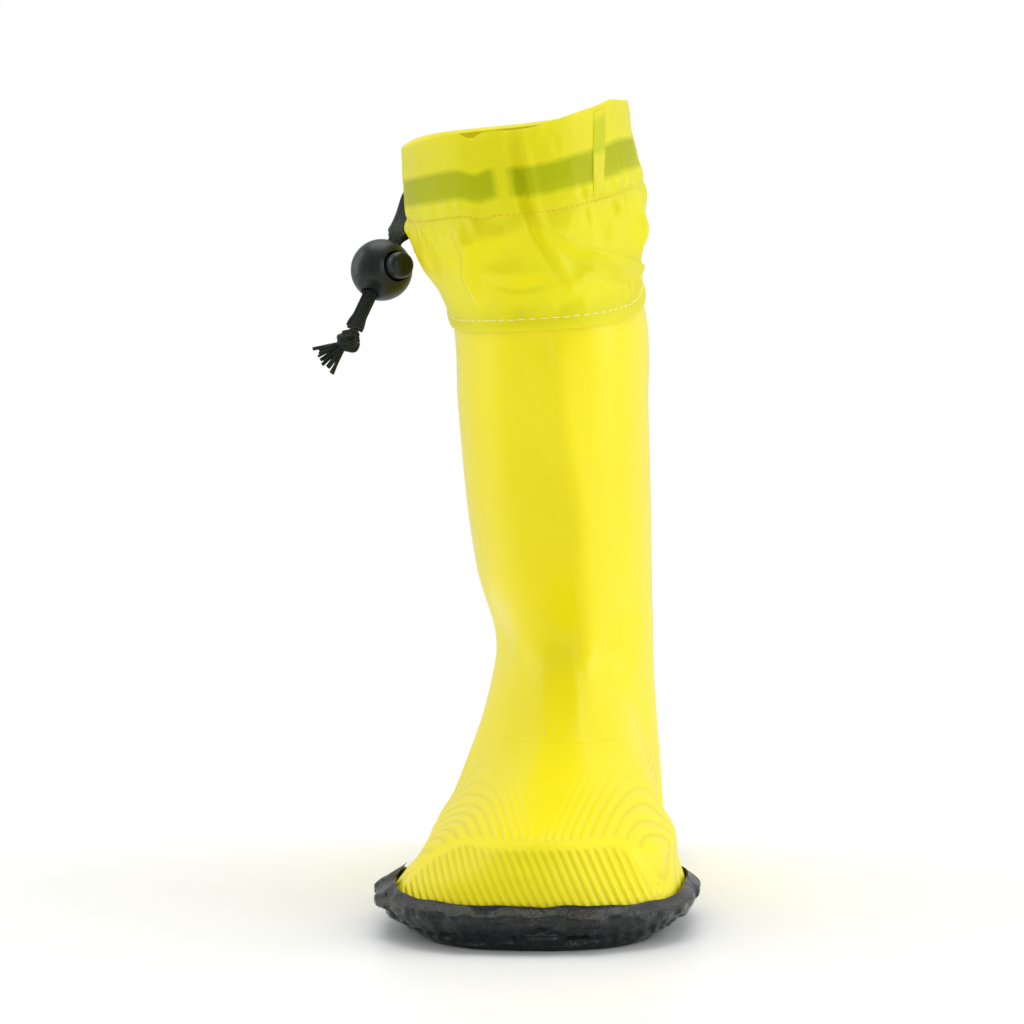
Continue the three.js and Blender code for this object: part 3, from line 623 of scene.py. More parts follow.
def elastic_cloth():
    f = Finish("ribbed black elastic")
    ribs = f.wave(f.sheet_axis(0), 0.75)
    picks = f.wave(f.sheet_axis(1), 0.5)
    height = f.math("ADD", ribs, f.math("MULTIPLY", picks, 0.4))
    fuzz = f.noise(f.object_place(), 2200, 3)
    # painted shade: the colour is darker in the grooves between the ribs and paler on their crests
    color = f.tint(f.span(ribs, -1, 1), (0.003, 0.004, 0.004), (0.011, 0.014, 0.013))
    normal = f.bump(height, 0.0001, 0.6, f.bump(fuzz, 0.00003, 0.3))
    return f.coat(
        Base_Color=color, Roughness=0.62, Normal=normal, Specular_IOR_Level=0.25,
        Sheen_Weight=0.12, Sheen_Roughness=0.5, Sheen_Tint=(0.5, 0.6, 0.55, 1),
    )


def stitch_thread(name, tone):
    f = Finish(name)
    at = f.object_place()
    twist = f.noise(f.stretch(at, (1, 1, 1), (0.4, 0.3, 0.6)), 2600, 2)
    color = f.tint(f.span(twist, 0.3, 0.7), tuple(0.9 * c for c in tone), tone)
    normal = f.bump(twist, 0.00002, 0.4)
    return f.coat(Base_Color=color, Roughness=0.55, Normal=normal, Sheen_Weight=0.2)


def black_plastic():
    f = Finish("satin black plastic")
    at = f.object_place()
    grain = f.noise(at, 1400, 3)
    soft = f.noise(at, 220, 3)
    scuffs = f.span(f.noise(f.stretch(at, (1, 1, 0.3)), 700, 4), 0.6, 0.72)
    color = f.tint(f.math("MULTIPLY", scuffs, 0.35), (0.005, 0.0075, 0.008), (0.04, 0.045, 0.05))
    rough = f.span(soft, 0.3, 0.7, 0.26, 0.4)
    normal = f.bump(grain, 0.00003, 0.5, f.bump(soft, 0.0001, 0.2))
    return f.coat(Base_Color=color, Roughness=rough, Normal=normal, IOR=1.49, Specular_IOR_Level=0.35)


def spring_steel():
    f = Finish("spring steel")
    drawn = f.noise(f.object_place(), 1800, 3)
    color = f.tint(drawn, (0.45, 0.46, 0.48), (0.68, 0.70, 0.72))
    rough = f.span(drawn, 0.3, 0.7, 0.18, 0.32)
    return f.coat(Base_Color=color, Metallic=1.0, Roughness=rough)


def knit_cotton(name, mapped):
    """Knitted by the piece's own map in mm, or along its object's Y and Z where it has none."""
    f = Finish(name)
    at = f.object_place()
    u = f.sheet_axis(0) if mapped else f.math("MULTIPLY", f.axis(at, 1), 1000)
    v = f.sheet_axis(1) if mapped else f.math("MULTIPLY", f.axis(at, 2), 1000)
    wales = f.wave(u, 0.9)
    row_phase = f.math("ADD", f.math("MULTIPLY", v, 2 * math.pi / 0.7), f.math("MULTIPLY", wales, 1.2))
    rows = f.math("SINE", row_phase)
    loops = f.math("ADD", wales, rows)
    fuzz = f.noise(at, 1500, 3)
    # painted shade: the colour is darker in the hollows between the knit's loops and paler on the loops
    color = f.tint(f.span(loops, -2, 2), (0.50, 0.46, 0.22), (0.78, 0.74, 0.46))
    normal = f.bump(loops, 0.0002, 0.7, f.bump(fuzz, 0.0001, 0.5))
    return f.coat(Base_Color=color, Roughness=0.85, Normal=normal, Sheen_Weight=0.3)


def sponge_foam():
    f = Finish("sponge foam")
    at = f.object_place()
    pores = f.cells(at, 900)
    # painted shade: the colour is dark down in the foam's pores
    color = f.tint(f.span(pores, 0.0, 0.6), (0.03, 0.03, 0.028), (0.13, 0.125, 0.11))
    normal = f.bump(pores, 0.0004, 0.8)
    return f.coat(Base_Color=color, Roughness=0.9, Normal=normal)


def fibre_board():
    f = Finish("fibre board")
    at = f.object_place()
    fibres = f.noise(f.stretch(at, (1, 0.12, 1)), 1100, 4)
    color = f.tint(f.span(fibres, 0.3, 0.7), (0.30, 0.22, 0.12), (0.55, 0.44, 0.28))
    normal = f.bump(fibres, 0.0002, 0.6)
    return f.coat(Base_Color=color, Roughness=0.8, Normal=normal)


LEG_RUBBER = yellow_rubber("smooth yellow rubber", False)
FOOT_RUBBER = yellow_rubber("ribbed yellow rubber", True)
SOLE_RUBBER = black_rubber()
BAND_ROWS = (38.0, 45.0)
NYLON = thin_nylon("thin yellow nylon", (1.0, 0.93, 0.006), 0.42, 0.3, BAND_ROWS)
NYLON_TAPE = thin_nylon("double yellow nylon", (0.95, 0.90, 0.012), 0.2, 0.3, BAND_ROWS)
ELASTIC = elastic_cloth()
HEM_THREAD = stitch_thread("hem thread", (1.0, 0.95, 0.22))
CHANNEL_THREAD = stitch_thread("channel thread", (0.92, 0.70, 0.01))
PLASTIC = black_plastic()
STEEL = spring_steel()
COTTON = knit_cotton("cotton knit", True)
TAPE_COTTON = knit_cotton("cotton tape", False)
FOAM = sponge_foam()
BOARD = fibre_board()


def dress(piece, material):
    piece.data.materials.clear()
    piece.data.materials.append(material)
    return piece


def settle(piece, material, slot, *nodes, body="boot"):
    """Gives a piece its material and its body, and hides the nodes that it stands for. The slot is not used.
    """
    dress(piece, material)
    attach(piece, body)
    if nodes:
        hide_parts(*nodes)
    return piece


# ---- the free cord: two flat band ends, the knot and the frayed end ----


def smooth_route(points, steps):
    """A centripetal curve through the points, with even steps."""
    spots = np.array(points, float)
    spots = np.concatenate([[2 * spots[0] - spots[1]], spots, [2 * spots[-1] - spots[-2]]])
    fine = []
    for i in range(1, len(spots) - 2):
        p0, p1, p2, p3 = spots[i - 1 : i + 3]
        t1 = math.sqrt(np.linalg.norm(p1 - p0))
        t2 = t1 + math.sqrt(np.linalg.norm(p2 - p1))
        t3 = t2 + math.sqrt(np.linalg.norm(p3 - p2))
        for t in np.linspace(t1, t2, 40, endpoint=False):
            a1 = (t1 - t) / t1 * p0 + t / t1 * p1
            a2 = (t2 - t) / (t2 - t1) * p1 + (t - t1) / (t2 - t1) * p2
            a3 = (t3 - t) / (t3 - t2) * p2 + (t - t2) / (t3 - t2) * p3
            b1 = (t2 - t) / t2 * a1 + t / t2 * a2
            b2 = (t3 - t) / (t3 - t1) * a2 + (t - t1) / (t3 - t1) * a3
            fine.append((t2 - t) / (t2 - t1) * b1 + (t - t1) / (t2 - t1) * b2)
    fine.append(spots[-2])
    fine = np.array(fine)
    run = run_along(fine)
    even = np.linspace(0, run[-1], steps)
    return np.stack([np.interp(even, run, fine[:, k]) for k in range(3)], 1), run[-1]


def flat_section(half_width, half_depth, ribs):
    """Half the outline of a ribbed flat band, once round, as (across, deep) pairs."""
    outline = []
    for k in range(36):
        turn = 2 * math.pi * (k + 0.5) / 36
        across = np.sign(math.cos(turn)) * abs(math.cos(turn)) ** 0.45
        deep = np.sign(math.sin(turn)) * abs(math.sin(turn)) ** 0.45
        ripple = 1 + 0.16 * math.cos(ribs * math.pi * across) * (abs(deep) > 0.5)
        outline.append((across * half_width, deep * half_depth * ripple / 1.16))
    return outline


def band_end(side, steps=150):
    centre, length = smooth_route(TAIL_ROUTE, steps)
    tangent = np.gradient(centre, axis=0)
    tangent /= np.linalg.norm(tangent, axis=1)[:, None]
    facing = np.array([0.1, 1, -0.2])
    loops = []
    uv = []
    for i in range(steps):
        along = float(np.dot(centre[i] - np.array(BALL_PLACE), np.array(CORD_DIRECTION)))
        thick = facing - tangent[i] * np.dot(facing, tangent[i])
        thick /= np.linalg.norm(thick)
        wide = np.cross(tangent[i], thick)
        narrow = BALL_RADIUS + GAP + (LOCK_RISE if along > 0 else LOCK_DROP)
        past_lock = float(ramp(abs(along), narrow - 1, narrow + 2.5))
        past_hole = float(ramp(i / (steps - 1), 0.08, 0.2))
        opening = min(past_lock, past_hole)
        open_width = BAND_WIDTH if along > 0 else CURLED_WIDTH
        half = (PINCHED_WIDTH * (1 - opening) + open_width * opening) / 2
        run = length * i / (steps - 1)
        curl = 0.35 * opening * math.sin(run * 0.42 + side)
        middle = centre[i] + thick * side * (BAND_WALL + GAP) / 2
        section = flat_section(half, BAND_WALL / 2, 5)
        cup = 0.12 * side * abs(curl)
        loops.append([middle + wide * a + thick * (d + cup * (a / half) ** 2) for a, d in section])
        uv.append([(a / half * 3.0, run) for a, _ in section + section[:1]])
    return tube("band_end", loops, uv)


def make_knot():
    """A tight overhand knot: three turns of the band round a core."""
    pieces = []
    for tilt, roll, radius, squash in ((0.5, 0.2, 2.3, 1.0), (-0.7, 1.3, 2.1, 0.9), (1.4, 2.5, 1.9, 1.05)):
        turn = Matrix.Rotation(tilt, 3, "X") @ Matrix.Rotation(roll, 3, "Z")
        loops = []
        uv = []
        steps = 72
        for i in range(steps + 1):
            angle = 2 * math.pi * i / steps * 0.96
            out = Vector((math.cos(angle), math.sin(angle) * squash, 0.35 * math.sin(2 * angle + tilt)))
            centre = out * radius
            normal = Vector((math.cos(angle), math.sin(angle), 0))
            wide = Vector((0, 0, 1))
            section = flat_section(1.75, 0.95, 4)
            loops.append([list(KNOT_PLACE + turn @ (centre + wide * a + normal * d)) for a, d in section])
            uv.append([(a * 1.4, angle * radius) for a, _ in section + section[:1]])
        pieces.append(tube("turn", loops, uv))
    return join("knot_turns", pieces)


def make_frayed_end():
    """Loose ribs and rubber threads fanning out below the knot."""
    away = Vector((-0.78, 0, -0.62)).normalized()
    level = Vector((-0.62, 0, 0.78)).normalized()
    depth = Vector((0, 1, 0))
    random = np.random.default_rng(7)
    pieces = []
    for k in range(11):
        spread_angle = -0.5 + 1.0 * k / 10 + float(random.uniform(-0.03, 0.03))
        reach = float(random.uniform(6.6, 8.4))
        sway = float(random.uniform(-0.5, 0.5))
        lift = float(random.uniform(-0.45, 0.45))
        half = 0.56 if k % 2 == 0 else 0.42
        loops = []
        for i in range(13):
            s = i / 12
            ray = away * math.cos(spread_angle) + level * math.sin(spread_angle)
            bow = level * sway * math.sin(math.pi * s) * 0.6 + depth * (lift * s + 0.25 * math.sin(5 * s + k))
            start = KNOT_PLACE + away * 2.2 + level * 2.2 * math.sin(spread_angle) * 0.7
            centre = start + ray * (reach - 0.4) * s + bow
            across = ray.cross(depth).normalized()
            taper = half * (1 - 0.12 * s)
            turns = np.linspace(0, 2 * math.pi, 8, endpoint=False)
            sides = [across * taper * math.cos(a) + depth * taper * 1.2 * math.sin(a) for a in turns]
            loops.append([list(centre + side) for side in sides])
        uv = [[(c * 0.3, r * 0.6) for c in range(9)] for r in range(13)]
        pieces.append(tube("fibre", loops, uv))
    return join("frayed_fibres", pieces)


band_ends = join("band_ends", [band_end(-1), band_end(1)])
settle(band_ends, ELASTIC, "elastic", "tail_strand_front", "tail_strand_rear")
knot = settle(make_knot(), ELASTIC, "elastic", "tail_knot")
frayed = settle(make_frayed_end(), ELASTIC, "elastic", "frayed_end")

# ---- the cord lock ----


def make_ball():
    work = bmesh.new()
    bmesh.ops.create_uvsphere(work, u_segments=96, v_segments=64, radius=BALL_RADIUS)
    mesh = bpy.data.meshes.new("ball")
    for vertex in work.verts:
        flat = (-CORD_DIRECTION + Vector((0.0, -0.45, 0.0))).normalized()
        beyond = vertex.co.dot(flat) - 7.6
        if beyond > 0:
            vertex.co -= flat * beyond * 0.85
        vertex.co += BALL_PLACE
        vertex.co *= MM
    work.to_mesh(mesh)
    work.free()
    ball = link("ball", mesh)
    hole = CORD_HOLE / 2
    through = [(hole + 2.2, -10.0), (hole + 0.75, -8.3), (hole + 0.1, -7.4), (hole, -7.0),
               (hole, 7.0), (hole + 0.1, 7.4), (hole + 0.75, 8.3), (hole + 2.2, 10.0)]
    bore = PLUNGER_DIAMETER / 2 + 0.25
    blind = [(bore, -BORE_END), (bore, 6.4), (bore + 0.12, 7.0), (bore + 0.7, 8.0), (bore + 2.4, 10.0)]
    tools = [
        lathe("cord_hole_tool", through, CORD_DIRECTION, BALL_PLACE, 40),
        lathe("bore_tool", blind, PLUNGER_DIRECTION, BALL_PLACE, 56),
    ]
    return carve(ball, tools, "lock_ball")


def make_plunger():
    radius = PLUNGER_DIAMETER / 2
    end = PLUNGER_REACH
    profile = [(radius - 0.3, -2.9), (radius, -2.6), (radius, end - 2.2), (radius - 0.1, end - 1.5),
               (radius - 0.5, end - 0.7), (radius - 1.2, end - 0.2), (radius - 2.2, end)]
    stem = lathe("stem", profile, PLUNGER_DIRECTION, BALL_PLACE, 64)
    across = CORD_DIRECTION.cross(PLUNGER_DIRECTION).normalized()
    low = -(CORD_HOLE / 2 - 0.3)
    high = low + CORD_HOLE - 0.6 + 2.3
    corners = []
    for a in (-1, 1):
        for b in (-1, 1):
            for c in (low, high):
                level = BALL_PLACE + across * a * CORD_HOLE / 2
                corners.append(list(level + CORD_DIRECTION * b * 8 + PLUNGER_DIRECTION * c))
    faces = [[0, 1, 3, 2], [4, 6, 7, 5], [0, 4, 5, 1], [2, 3, 7, 6], [0, 2, 6, 4], [1, 5, 7, 3]]
    slot = mesh_of("slot_tool", corners, faces)
    face_outward(slot)
    return carve(stem, [slot], "lock_button")


lock_ball = settle(make_ball(), PLASTIC, "black_plastic", "cord_lock_ball", body="cord_lock")
lock_button = settle(make_plunger(), PLASTIC, "black_plastic", "cord_lock_plunger", body="button")

tail_line, tail_length = smooth_route(TAIL_ROUTE, 40)

# ---- the collar's cloth ----

COLLAR_SECTION_HEIGHT = 178
section_angles = np.linspace(-math.pi, math.pi, 721)
section = skin(section_angles, np.full(721, float(COLLAR_SECTION_HEIGHT)), -5.0)
section_run = run_along(section)
section_run -= np.interp(0, section_angles, section_run)
COLLAR_ROUND = section_run[-1] - section_run[0]


def way_round(angle):
    """Distance round the collar from its front middle, in mm, positive towards the inner side."""
    wrapped = (np.asarray(angle) + math.pi) % (2 * math.pi) - math.pi
    return np.interp(wrapped, section_angles, section_run)


def front_way(x):
    """The same distance for a place on the front face, from its sideways place."""
    front = np.abs(section_angles) < 1.45
    return float(np.interp(x, section[front, 0], section_run[front]))


def on_front(*places):
    """Places on the front as seen a little from the outer side, which moves them inwards."""
    return [(front_way(x + 3.3), z) for x, z in places]


def collar_bulge(t):
    return COLLAR_BULGE * between([[0, 0], [0.12, 0.04], [0.36, 0.8], [0.58, 1], [0.8, 0.85], [1, 0.6]], t)


def collar_relief(angle, t):
    """How far the cloth's folds, puckers and crumples stand out, in mm."""
    a = way_round(angle)
    low = hem_height(angle)
    tall = rim_height(angle) - low
    z = low + tall * t
    around = (a - section_run[0]) / COLLAR_ROUND
    up = t * COLLAR_HEIGHT
    body = ramp(t, 0.1, 0.22)
    below = body * (1 - ramp(t, 0.5, 0.58))
    relief = 0.0
    folds = [
        (on_front((-25.8, 178), (-22.6, 171), (-26.0, 162.5), (-25.4, 156)), 2.2, 1.0, 0.35),
        (on_front((-25.8, 170), (-17, 173.6), (-8, 175)), 2.4, 0.8, 0.4),
        (on_front((-24, 166.5), (-15, 168), (-7, 171.5)), 2.6, -0.4, 0.0),
        (on_front((-19.9, 162), (-12, 161), (-4.6, 162)), 1.6, -0.5, 0.3),
        (on_front((-20, 164.6), (-12, 163.8), (-5, 164.6)), 1.6, 0.5, 0.3),
        (on_front((-3.9, 178), (3, 173), (9.6, 170.2), (20, 168), (26, 167)), 2.3, 1.2, -0.4),
        (on_front((-3, 173.5), (4, 169), (12, 166), (22, 163.5)), 2.2, -0.9, 0.2),
        (on_front((0.8, 161.8), (4.5, 163), (9.5, 166)), 1.8, 0.8, 0.3),
        (on_front((21.4, 183), (21.6, 178), (20.5, 173)), 3.2, 0.8, 0.0),
        (on_front((16, 184), (14, 178), (11, 173)), 2.6, -0.6, 0.0),
        (on_front((-34.9, 185), (-31, 180), (-28, 176)), 1.8, 0.7, 0.3),
        (on_front((-10, 181), (-13, 176), (-12, 170)), 2.4, -0.45, 0.0),
    ]
    for path, width, height, lean in folds:
        relief = relief + below * crease(a, z, path, width, 2.3 * height, lean)
    centre = on_front((-6.0, 203), (-5.5, 190), (-5.2, 182), (-4.1, 174.7), (-1.8, 168), (0.3, 161))
    relief = relief - crease(a, z, centre, 1.3, 1.5)
    for beside, height in ((2.6, 0.9), (-2.6, 0.6)):
        relief = relief + crease(a, z, [(x + beside, y) for x, y in centre], 1.5, height)
    sides = [
        ((48, 190), (50, 176), (46, 164), 2.6, 1.0),
        ((60, 186), (64, 172), (58, 160), 2.4, -0.9),
        ((70, 180), (82, 172), (96, 170), 2.4, 0.9),
        ((84, 186), (94, 178), (90, 166), 2.2, -0.8),
        ((104, 188), (108, 176), (118, 168), 2.6, 1.0),
        ((-58, 184), (-62, 172), (-56, 161), 2.4, 0.9),
        ((-70, 188), (-74, 174), (-84, 166), 2.6, -0.9),
        ((-84, 182), (-96, 174), (-108, 172), 2.4, 0.9),
        ((-104, 190), (-110, 178), (-104, 168), 2.4, -0.8),
        ((-118, 188), (-120, 176), (-114, 168), 2.2, 0.8),
    ]
    for first, second, third, width, height in sides:
        path = [(x, y + 4.0) for x, y in (first, second, third)]
        relief = relief + below * crease(a, z, path, width, height, 0.2)
    near_hem = bell(up - 5.6, 2.4) * ramp(up, 2.9, 4.0)
    near_channel = bell(up - 25.2, 2.4) * (1 - ramp(up, 26.6, 27.8))
    above_channel = bell(up - 30.0, 2.2) * ramp(up, 27.9, 29.2)
    small = wobble(around, 0 * up, 70, 1, 3)
    finer = wobble(around, 0 * up, 118, 1, 5)
    relief = relief + 0.6 * near_hem * small + 0.9 * near_channel * (0.6 * small + 0.6 * finer)
    relief = relief + 0.5 * above_channel * finer
    relief = relief - 0.25 * bell(up - CHANNEL_AT * COLLAR_HEIGHT, 0.7) - 0.2 * bell(up - 2.9, 0.6)
    relief = relief + 0.3 * bell(up - 1.2, 1.1)
    loose = body * (0.5 * wobble(around, up, 30, 9, 11) + 0.28 * wobble(around, up, 62, 4.5, 12))
    relief = relief + loose * (0.55 + 0.45 * (t < CHANNEL_AT)) + 0.1 * body * wobble(around, up, 130, 2.2, 13)
    return relief


def collar_point(angle, t, outward):
    low = hem_height(angle)
    z = low + (rim_height(angle) - low) * t
    return skin(angle, z, -(GAP + collar_bulge(t) + outward))


def cloth_map(angle, up):
    """Map places for a closed strip of cloth: the way round and the way up, in mm."""
    round_at = way_round(angle)[0]
    u = np.concatenate([round_at, [round_at[0] + COLLAR_ROUND]])
    return np.stack(np.broadcast_arrays(u[None, :], up[:, None]), -1)


def make_collar():
    """One ply from the hem up, over the rim and down inside the channel."""
    columns_round = 350
    angle = columns(columns_round, 0.38)[None, :]
    rim_rows = [(0.992, 0.02), (0.998, -0.14), (1.0, -0.55), (0.998, -1.0), (0.992, -1.6)]
    face_rows = []
    back_rows = []
    for t in np.linspace(0, 0.985, 88):
        relief = collar_relief(angle, t)
        face_rows.append(collar_point(angle, t, NYLON_WALL + relief))
        back_rows.append(collar_point(angle, t, NYLON_WALL - PLY + relief))
    top_relief = collar_relief(angle, 0.985)
    for t, outward in rim_rows:
        face_rows.append(collar_point(angle, t, NYLON_WALL + outward + top_relief))
        back_out = NYLON_WALL - PLY + outward * 0.72 + top_relief
        back_rows.append(collar_point(angle, min(t, 0.99) - 0.004, back_out))
    around = (way_round(angle) - section_run[0]) / COLLAR_ROUND
    for t in np.linspace(0.975, 0.54, 34):
        pinch = 0.55 + (CHANNEL_DEPTH - 0.55) * float(ramp(t, 0.58, 0.66))
        wave = 0.35 * float(ramp(t, 0.6, 0.7)) * wobble(around, t * 40, 40, 10, 21)
        relief = collar_relief(angle, t) * 0.85 + wave
        face_rows.append(collar_point(angle, t, -pinch - PLY + relief))
        back_rows.append(collar_point(angle, t, -pinch + relief))
    face = np.concatenate(face_rows)
    back = np.concatenate(back_rows)
    up = run_along(face[:, columns_round // 2])
    return shell("collar", face, back, True, cloth_map(angle, up), 50)


collar = settle(make_collar(), NYLON, "nylon", "gaiter")


def make_band():
    """The elastic in its channel, which follows the folds of the cloth over it."""
    angle = columns(300, 0.3)[None, :]
    shares = np.linspace(-0.5, 0.5, 9)
    middle_relief = collar_relief(angle, BAND_AT)
    outer = []
    inner = []
    for share in shares:
        t = BAND_AT + share * BAND_WIDTH / COLLAR_HEIGHT
        relief = np.minimum(collar_relief(angle, t), middle_relief)
        level = (collar_bulge(BAND_AT) - collar_bulge(t)) * 0.2
        edge = 0.3 * abs(2 * share) ** 6
        outer.append(collar_point(angle, t, -0.15 + relief + level - edge))
        inner.append(collar_point(angle, t, -1.1 + relief + level + edge))
    uv = cloth_map(angle, shares * BAND_WIDTH)
    return shell("collar_band", np.concatenate(outer), np.concatenate(inner), True, uv, 50)


settle(make_band(), ELASTIC, "elastic", "drawband")


def make_seam_strip():
    """The folded edge of the collar's side seam, which runs straight up over the channel."""
    sideways = 15.4
    wide = 2.7
    heights = np.linspace(CHANNEL_AT + 0.02, 0.975, 60)
    trial = np.linspace(0.1, 1.3, 80)
    shares = np.linspace(-1, 1, 9)
    outer = []
    inner = []
    around = []
    for t in heights:
        across = collar_point(trial, t, NYLON_WALL)[:, 0]
        angles = np.interp(sideways + wide * shares / 2, across, trial)[None, :]
        relief = collar_relief(angles, t)
        outer.append(collar_point(angles, t, NYLON_WALL + 0.35 + relief - 0.2 * np.abs(shares) ** 4))
        inner.append(collar_point(angles, t, NYLON_WALL + 0.03 + relief))
        around.append(way_round(angles))
    uv = np.stack(np.broadcast_arrays(np.concatenate(around), (heights * COLLAR_HEIGHT)[:, None]), -1)
    return shell("seam_strip", np.concatenate(outer), np.concatenate(inner), False, uv, 50)


seam_strip = settle(make_seam_strip(), NYLON_TAPE, "nylon", "side_seam")

# ---- stitches, laid along lines on the cloth by Geometry Nodes ----


class GrowthTree:
    """A Geometry Nodes tree with named inputs. Each call of add makes a node and returns it."""

    def __init__(self, name, inputs):
        self.tree = bpy.data.node_groups.new(name, "GeometryNodeTree")
        self.keys = {}
        for label, kind in inputs:
            socket = self.tree.interface.new_socket(label, in_out="INPUT", socket_type="NodeSocket" + kind)
            self.keys[label] = socket.identifier
        self.tree.interface.new_socket("Pieces", in_out="OUTPUT", socket_type="NodeSocketGeometry")
        self.given = self.tree.nodes.new("NodeGroupInput").outputs

    def add(self, kind, inputs, **options):
        return add_node(self.tree, kind, inputs, **options)

    def repeat(self, shape, points, size, rotation=(0, 0, 0)):
        """Puts the shape on the points as real meshes in the given material."""
        values = {"Points": points, "Instance": shape, "Rotation": rotation, "Scale": size}
        copies = self.add("GeometryNodeInstanceOnPoints", values).outputs["Instances"]
        real = self.add("GeometryNodeRealizeInstances", {"Geometry": copies}).outputs["Geometry"]
        values = {"Geometry": real, "Material": self.given["Material"]}
        dressed = self.add("GeometryNodeSetMaterial", values).outputs["Geometry"]
        self.add("NodeGroupOutput", {"Pieces": dressed})

    def grow(self, name, holder, values):
        """The holder's mesh after the tree, in place of the holder."""
        run = holder.modifiers.new("growth", "NODES")
        run.node_group = self.tree
        for label, value in values.items():
            run[self.keys[label]] = value
        return settled(name, holder)


def stitch_tree():
    """Lays rounded stitches of slightly uneven size along a line."""
    sizes = [(label, "Float") for label in ("Pitch", "Stitch Length", "Stitch Width", "Across", "Unevenness")]
    tree = GrowthTree("stitch run", [("Line", "Geometry"), *sizes, ("Material", "Material")])
    given = tree.given
    values = {"Curve": given["Line"], "Length": given["Pitch"]}
    spots = tree.add("GeometryNodeCurveToPoints", values, mode="LENGTH")
    bead = tree.add("GeometryNodeMeshUVSphere", {"Segments": 8, "Rings": 6, "Radius": 0.5}).outputs["Mesh"]
    smooth = tree.add("GeometryNodeSetShadeSmooth", {"Geometry": bead}).outputs["Geometry"]
    low = tree.add("ShaderNodeMath", {0: 1.0, 1: given["Unevenness"]}, operation="SUBTRACT").outputs[0]
    vary = tree.add("FunctionNodeRandomValue", {}, data_type="FLOAT")
    vary.inputs["Seed"].default_value = 4
    tree.tree.links.new(low, vary.inputs["Min"])
    vary.inputs["Max"].default_value = 1.0
    values = {"X": given["Across"], "Y": given["Stitch Width"], "Z": given["Stitch Length"]}
    size = tree.add("ShaderNodeCombineXYZ", values).outputs[0]
    values = {0: size, "Scale": vary.outputs["Value"]}
    grown = tree.add("ShaderNodeVectorMath", values, operation="SCALE").outputs[0]
    tree.repeat(smooth, spots.outputs["Points"], grown, spots.outputs["Rotation"])
    return tree


STITCH_TREE = stitch_tree()


def stitches(name, line, pitch, length, width, across, thread, uneven=0.15):
    """Stitches along a closed line of points, all in mm."""
    curve = bpy.data.curves.new(name + "_line", "CURVE")
    curve.dimensions = "3D"
    spline = curve.splines.new("POLY")
    spline.points.add(len(line) - 1)
    spline.points.foreach_set("co", np.concatenate([line * MM, np.ones((len(line), 1))], axis=1).ravel())
    spline.use_cyclic_u = True
    values = {
        "Pitch": pitch * MM, "Stitch Length": length * MM, "Stitch Width": width * MM, "Across": across * MM,
        "Unevenness": uneven, "Material": thread,
    }
    return STITCH_TREE.grow(name, link(name + "_line", curve), values)


def sewn(piece, node):
    """A run of stitches, which already carries its thread."""
    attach(piece, "boot")
    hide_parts(node)
    return piece


def collar_line(t, lift):
    angle = columns(700, 0.3)
    return collar_point(angle, t, NYLON_WALL + collar_relief(angle, t) + lift)


hem_line = collar_line(0.062, 0.12)
hem_stitches = sewn(stitches("hem_stitches", hem_line, 3.0, 2.5, 0.62, 0.62, HEM_THREAD), "hem_stitching")
channel_line = collar_line(CHANNEL_AT, 0.1)
channel_stitches = sewn(
    stitches("channel_stitches", channel_line, 1.8, 1.45, 0.42, 0.42, CHANNEL_THREAD), "channel_stitching"
)


def buttonhole_line():
    """An oval on the cloth round the hole where the elastic comes out."""
    exit_angle = -math.pi / 2 - 0.9
    reach_round = 2.6
    reach_up = 5.9
    spread_angle = reach_round / 38
    turn = np.linspace(0, 2 * math.pi, 90, endpoint=False)
    angle = exit_angle + spread_angle * np.cos(turn)
    share = BAND_AT + reach_up / COLLAR_HEIGHT * np.sin(turn)
    return collar_point(angle, share, NYLON_WALL + collar_relief(angle, share) + 0.15)


hole_stitches = sewn(
    stitches("hole_stitches", buttonhole_line(), 0.5, 0.52, 0.6, 1.5, HEM_THREAD, 0.1), "buttonhole_stitching"
)

# ---- the leg ----


FRONT_FOLDS = [
    ([(1, 160), (3.3, 128), (5.2, 112), (7.6, 97), (7.2, 92), (8.2, 76), (9.4, 60), (8, 44)], 4.4, 1.6, 0),
    ([(-4.6, 134), (-3.0, 120), (2, 107), (4.5, 100)], 5.2, -1.5, -0.35),
    ([(24, 76), (21, 68), (20, 56)], 4.0, 1.1, 0),
    ([(16.5, 78), (15, 66), (15.5, 54)], 4.0, -0.8, 0),
    ([(-17, 78), (-14.5, 66), (-15, 58)], 3.0, -1.0, 0),
]
BACK_FOLDS = [
    ([(-18, 92), (0, 86), (18, 92)], 4.0, 0.9, 0),
    ([(-20, 84), (0, 78), (20, 84)], 5.0, -1.2, 0),
    ([(-16, 108), (0, 102), (12, 106)], 5.0, -0.7, 0),
]


def leg_relief(angle, z):
    """Soft dents and folds of the thin rubber, in mm. They die out at the joint and under the collar."""
    x = skin(angle, z, 0)[..., 0] - 2.2
    front = ramp(np.cos(angle), -0.1, 0.25)
    back = 1 - ramp(np.cos(angle), -0.3, 0.1)
    relief = 0.16 * wobble((angle + math.pi) / (2 * math.pi), z, 8, 34, 31)
    for here, folds in ((front, FRONT_FOLDS), (back, BACK_FOLDS)):
        for path, width, height, lean in folds:
            relief = relief + here * crease(x, z, path, width, height, lean)
    low = ramp(z - vamp_top(angle), 0, 9)
    return relief * low * (1 - ramp(z, hem_height(angle) - 8, hem_height(angle) - 1))


def make_leg():
    angle = columns(420, 0.45)
    heights = even_rows(angle, vamp_top(angle), rubber_top(angle), 130, 1.0)
    around = np.broadcast_to(angle[None, :], heights.shape)
    relief = leg_relief(around, heights)
    return shell("leg", skin(around, heights, -relief), skin(around, heights, RUBBER_WALL - relief))


settle(make_leg(), LEG_RUBBER, "smooth_rubber", "shaft")

# ---- the foot ----


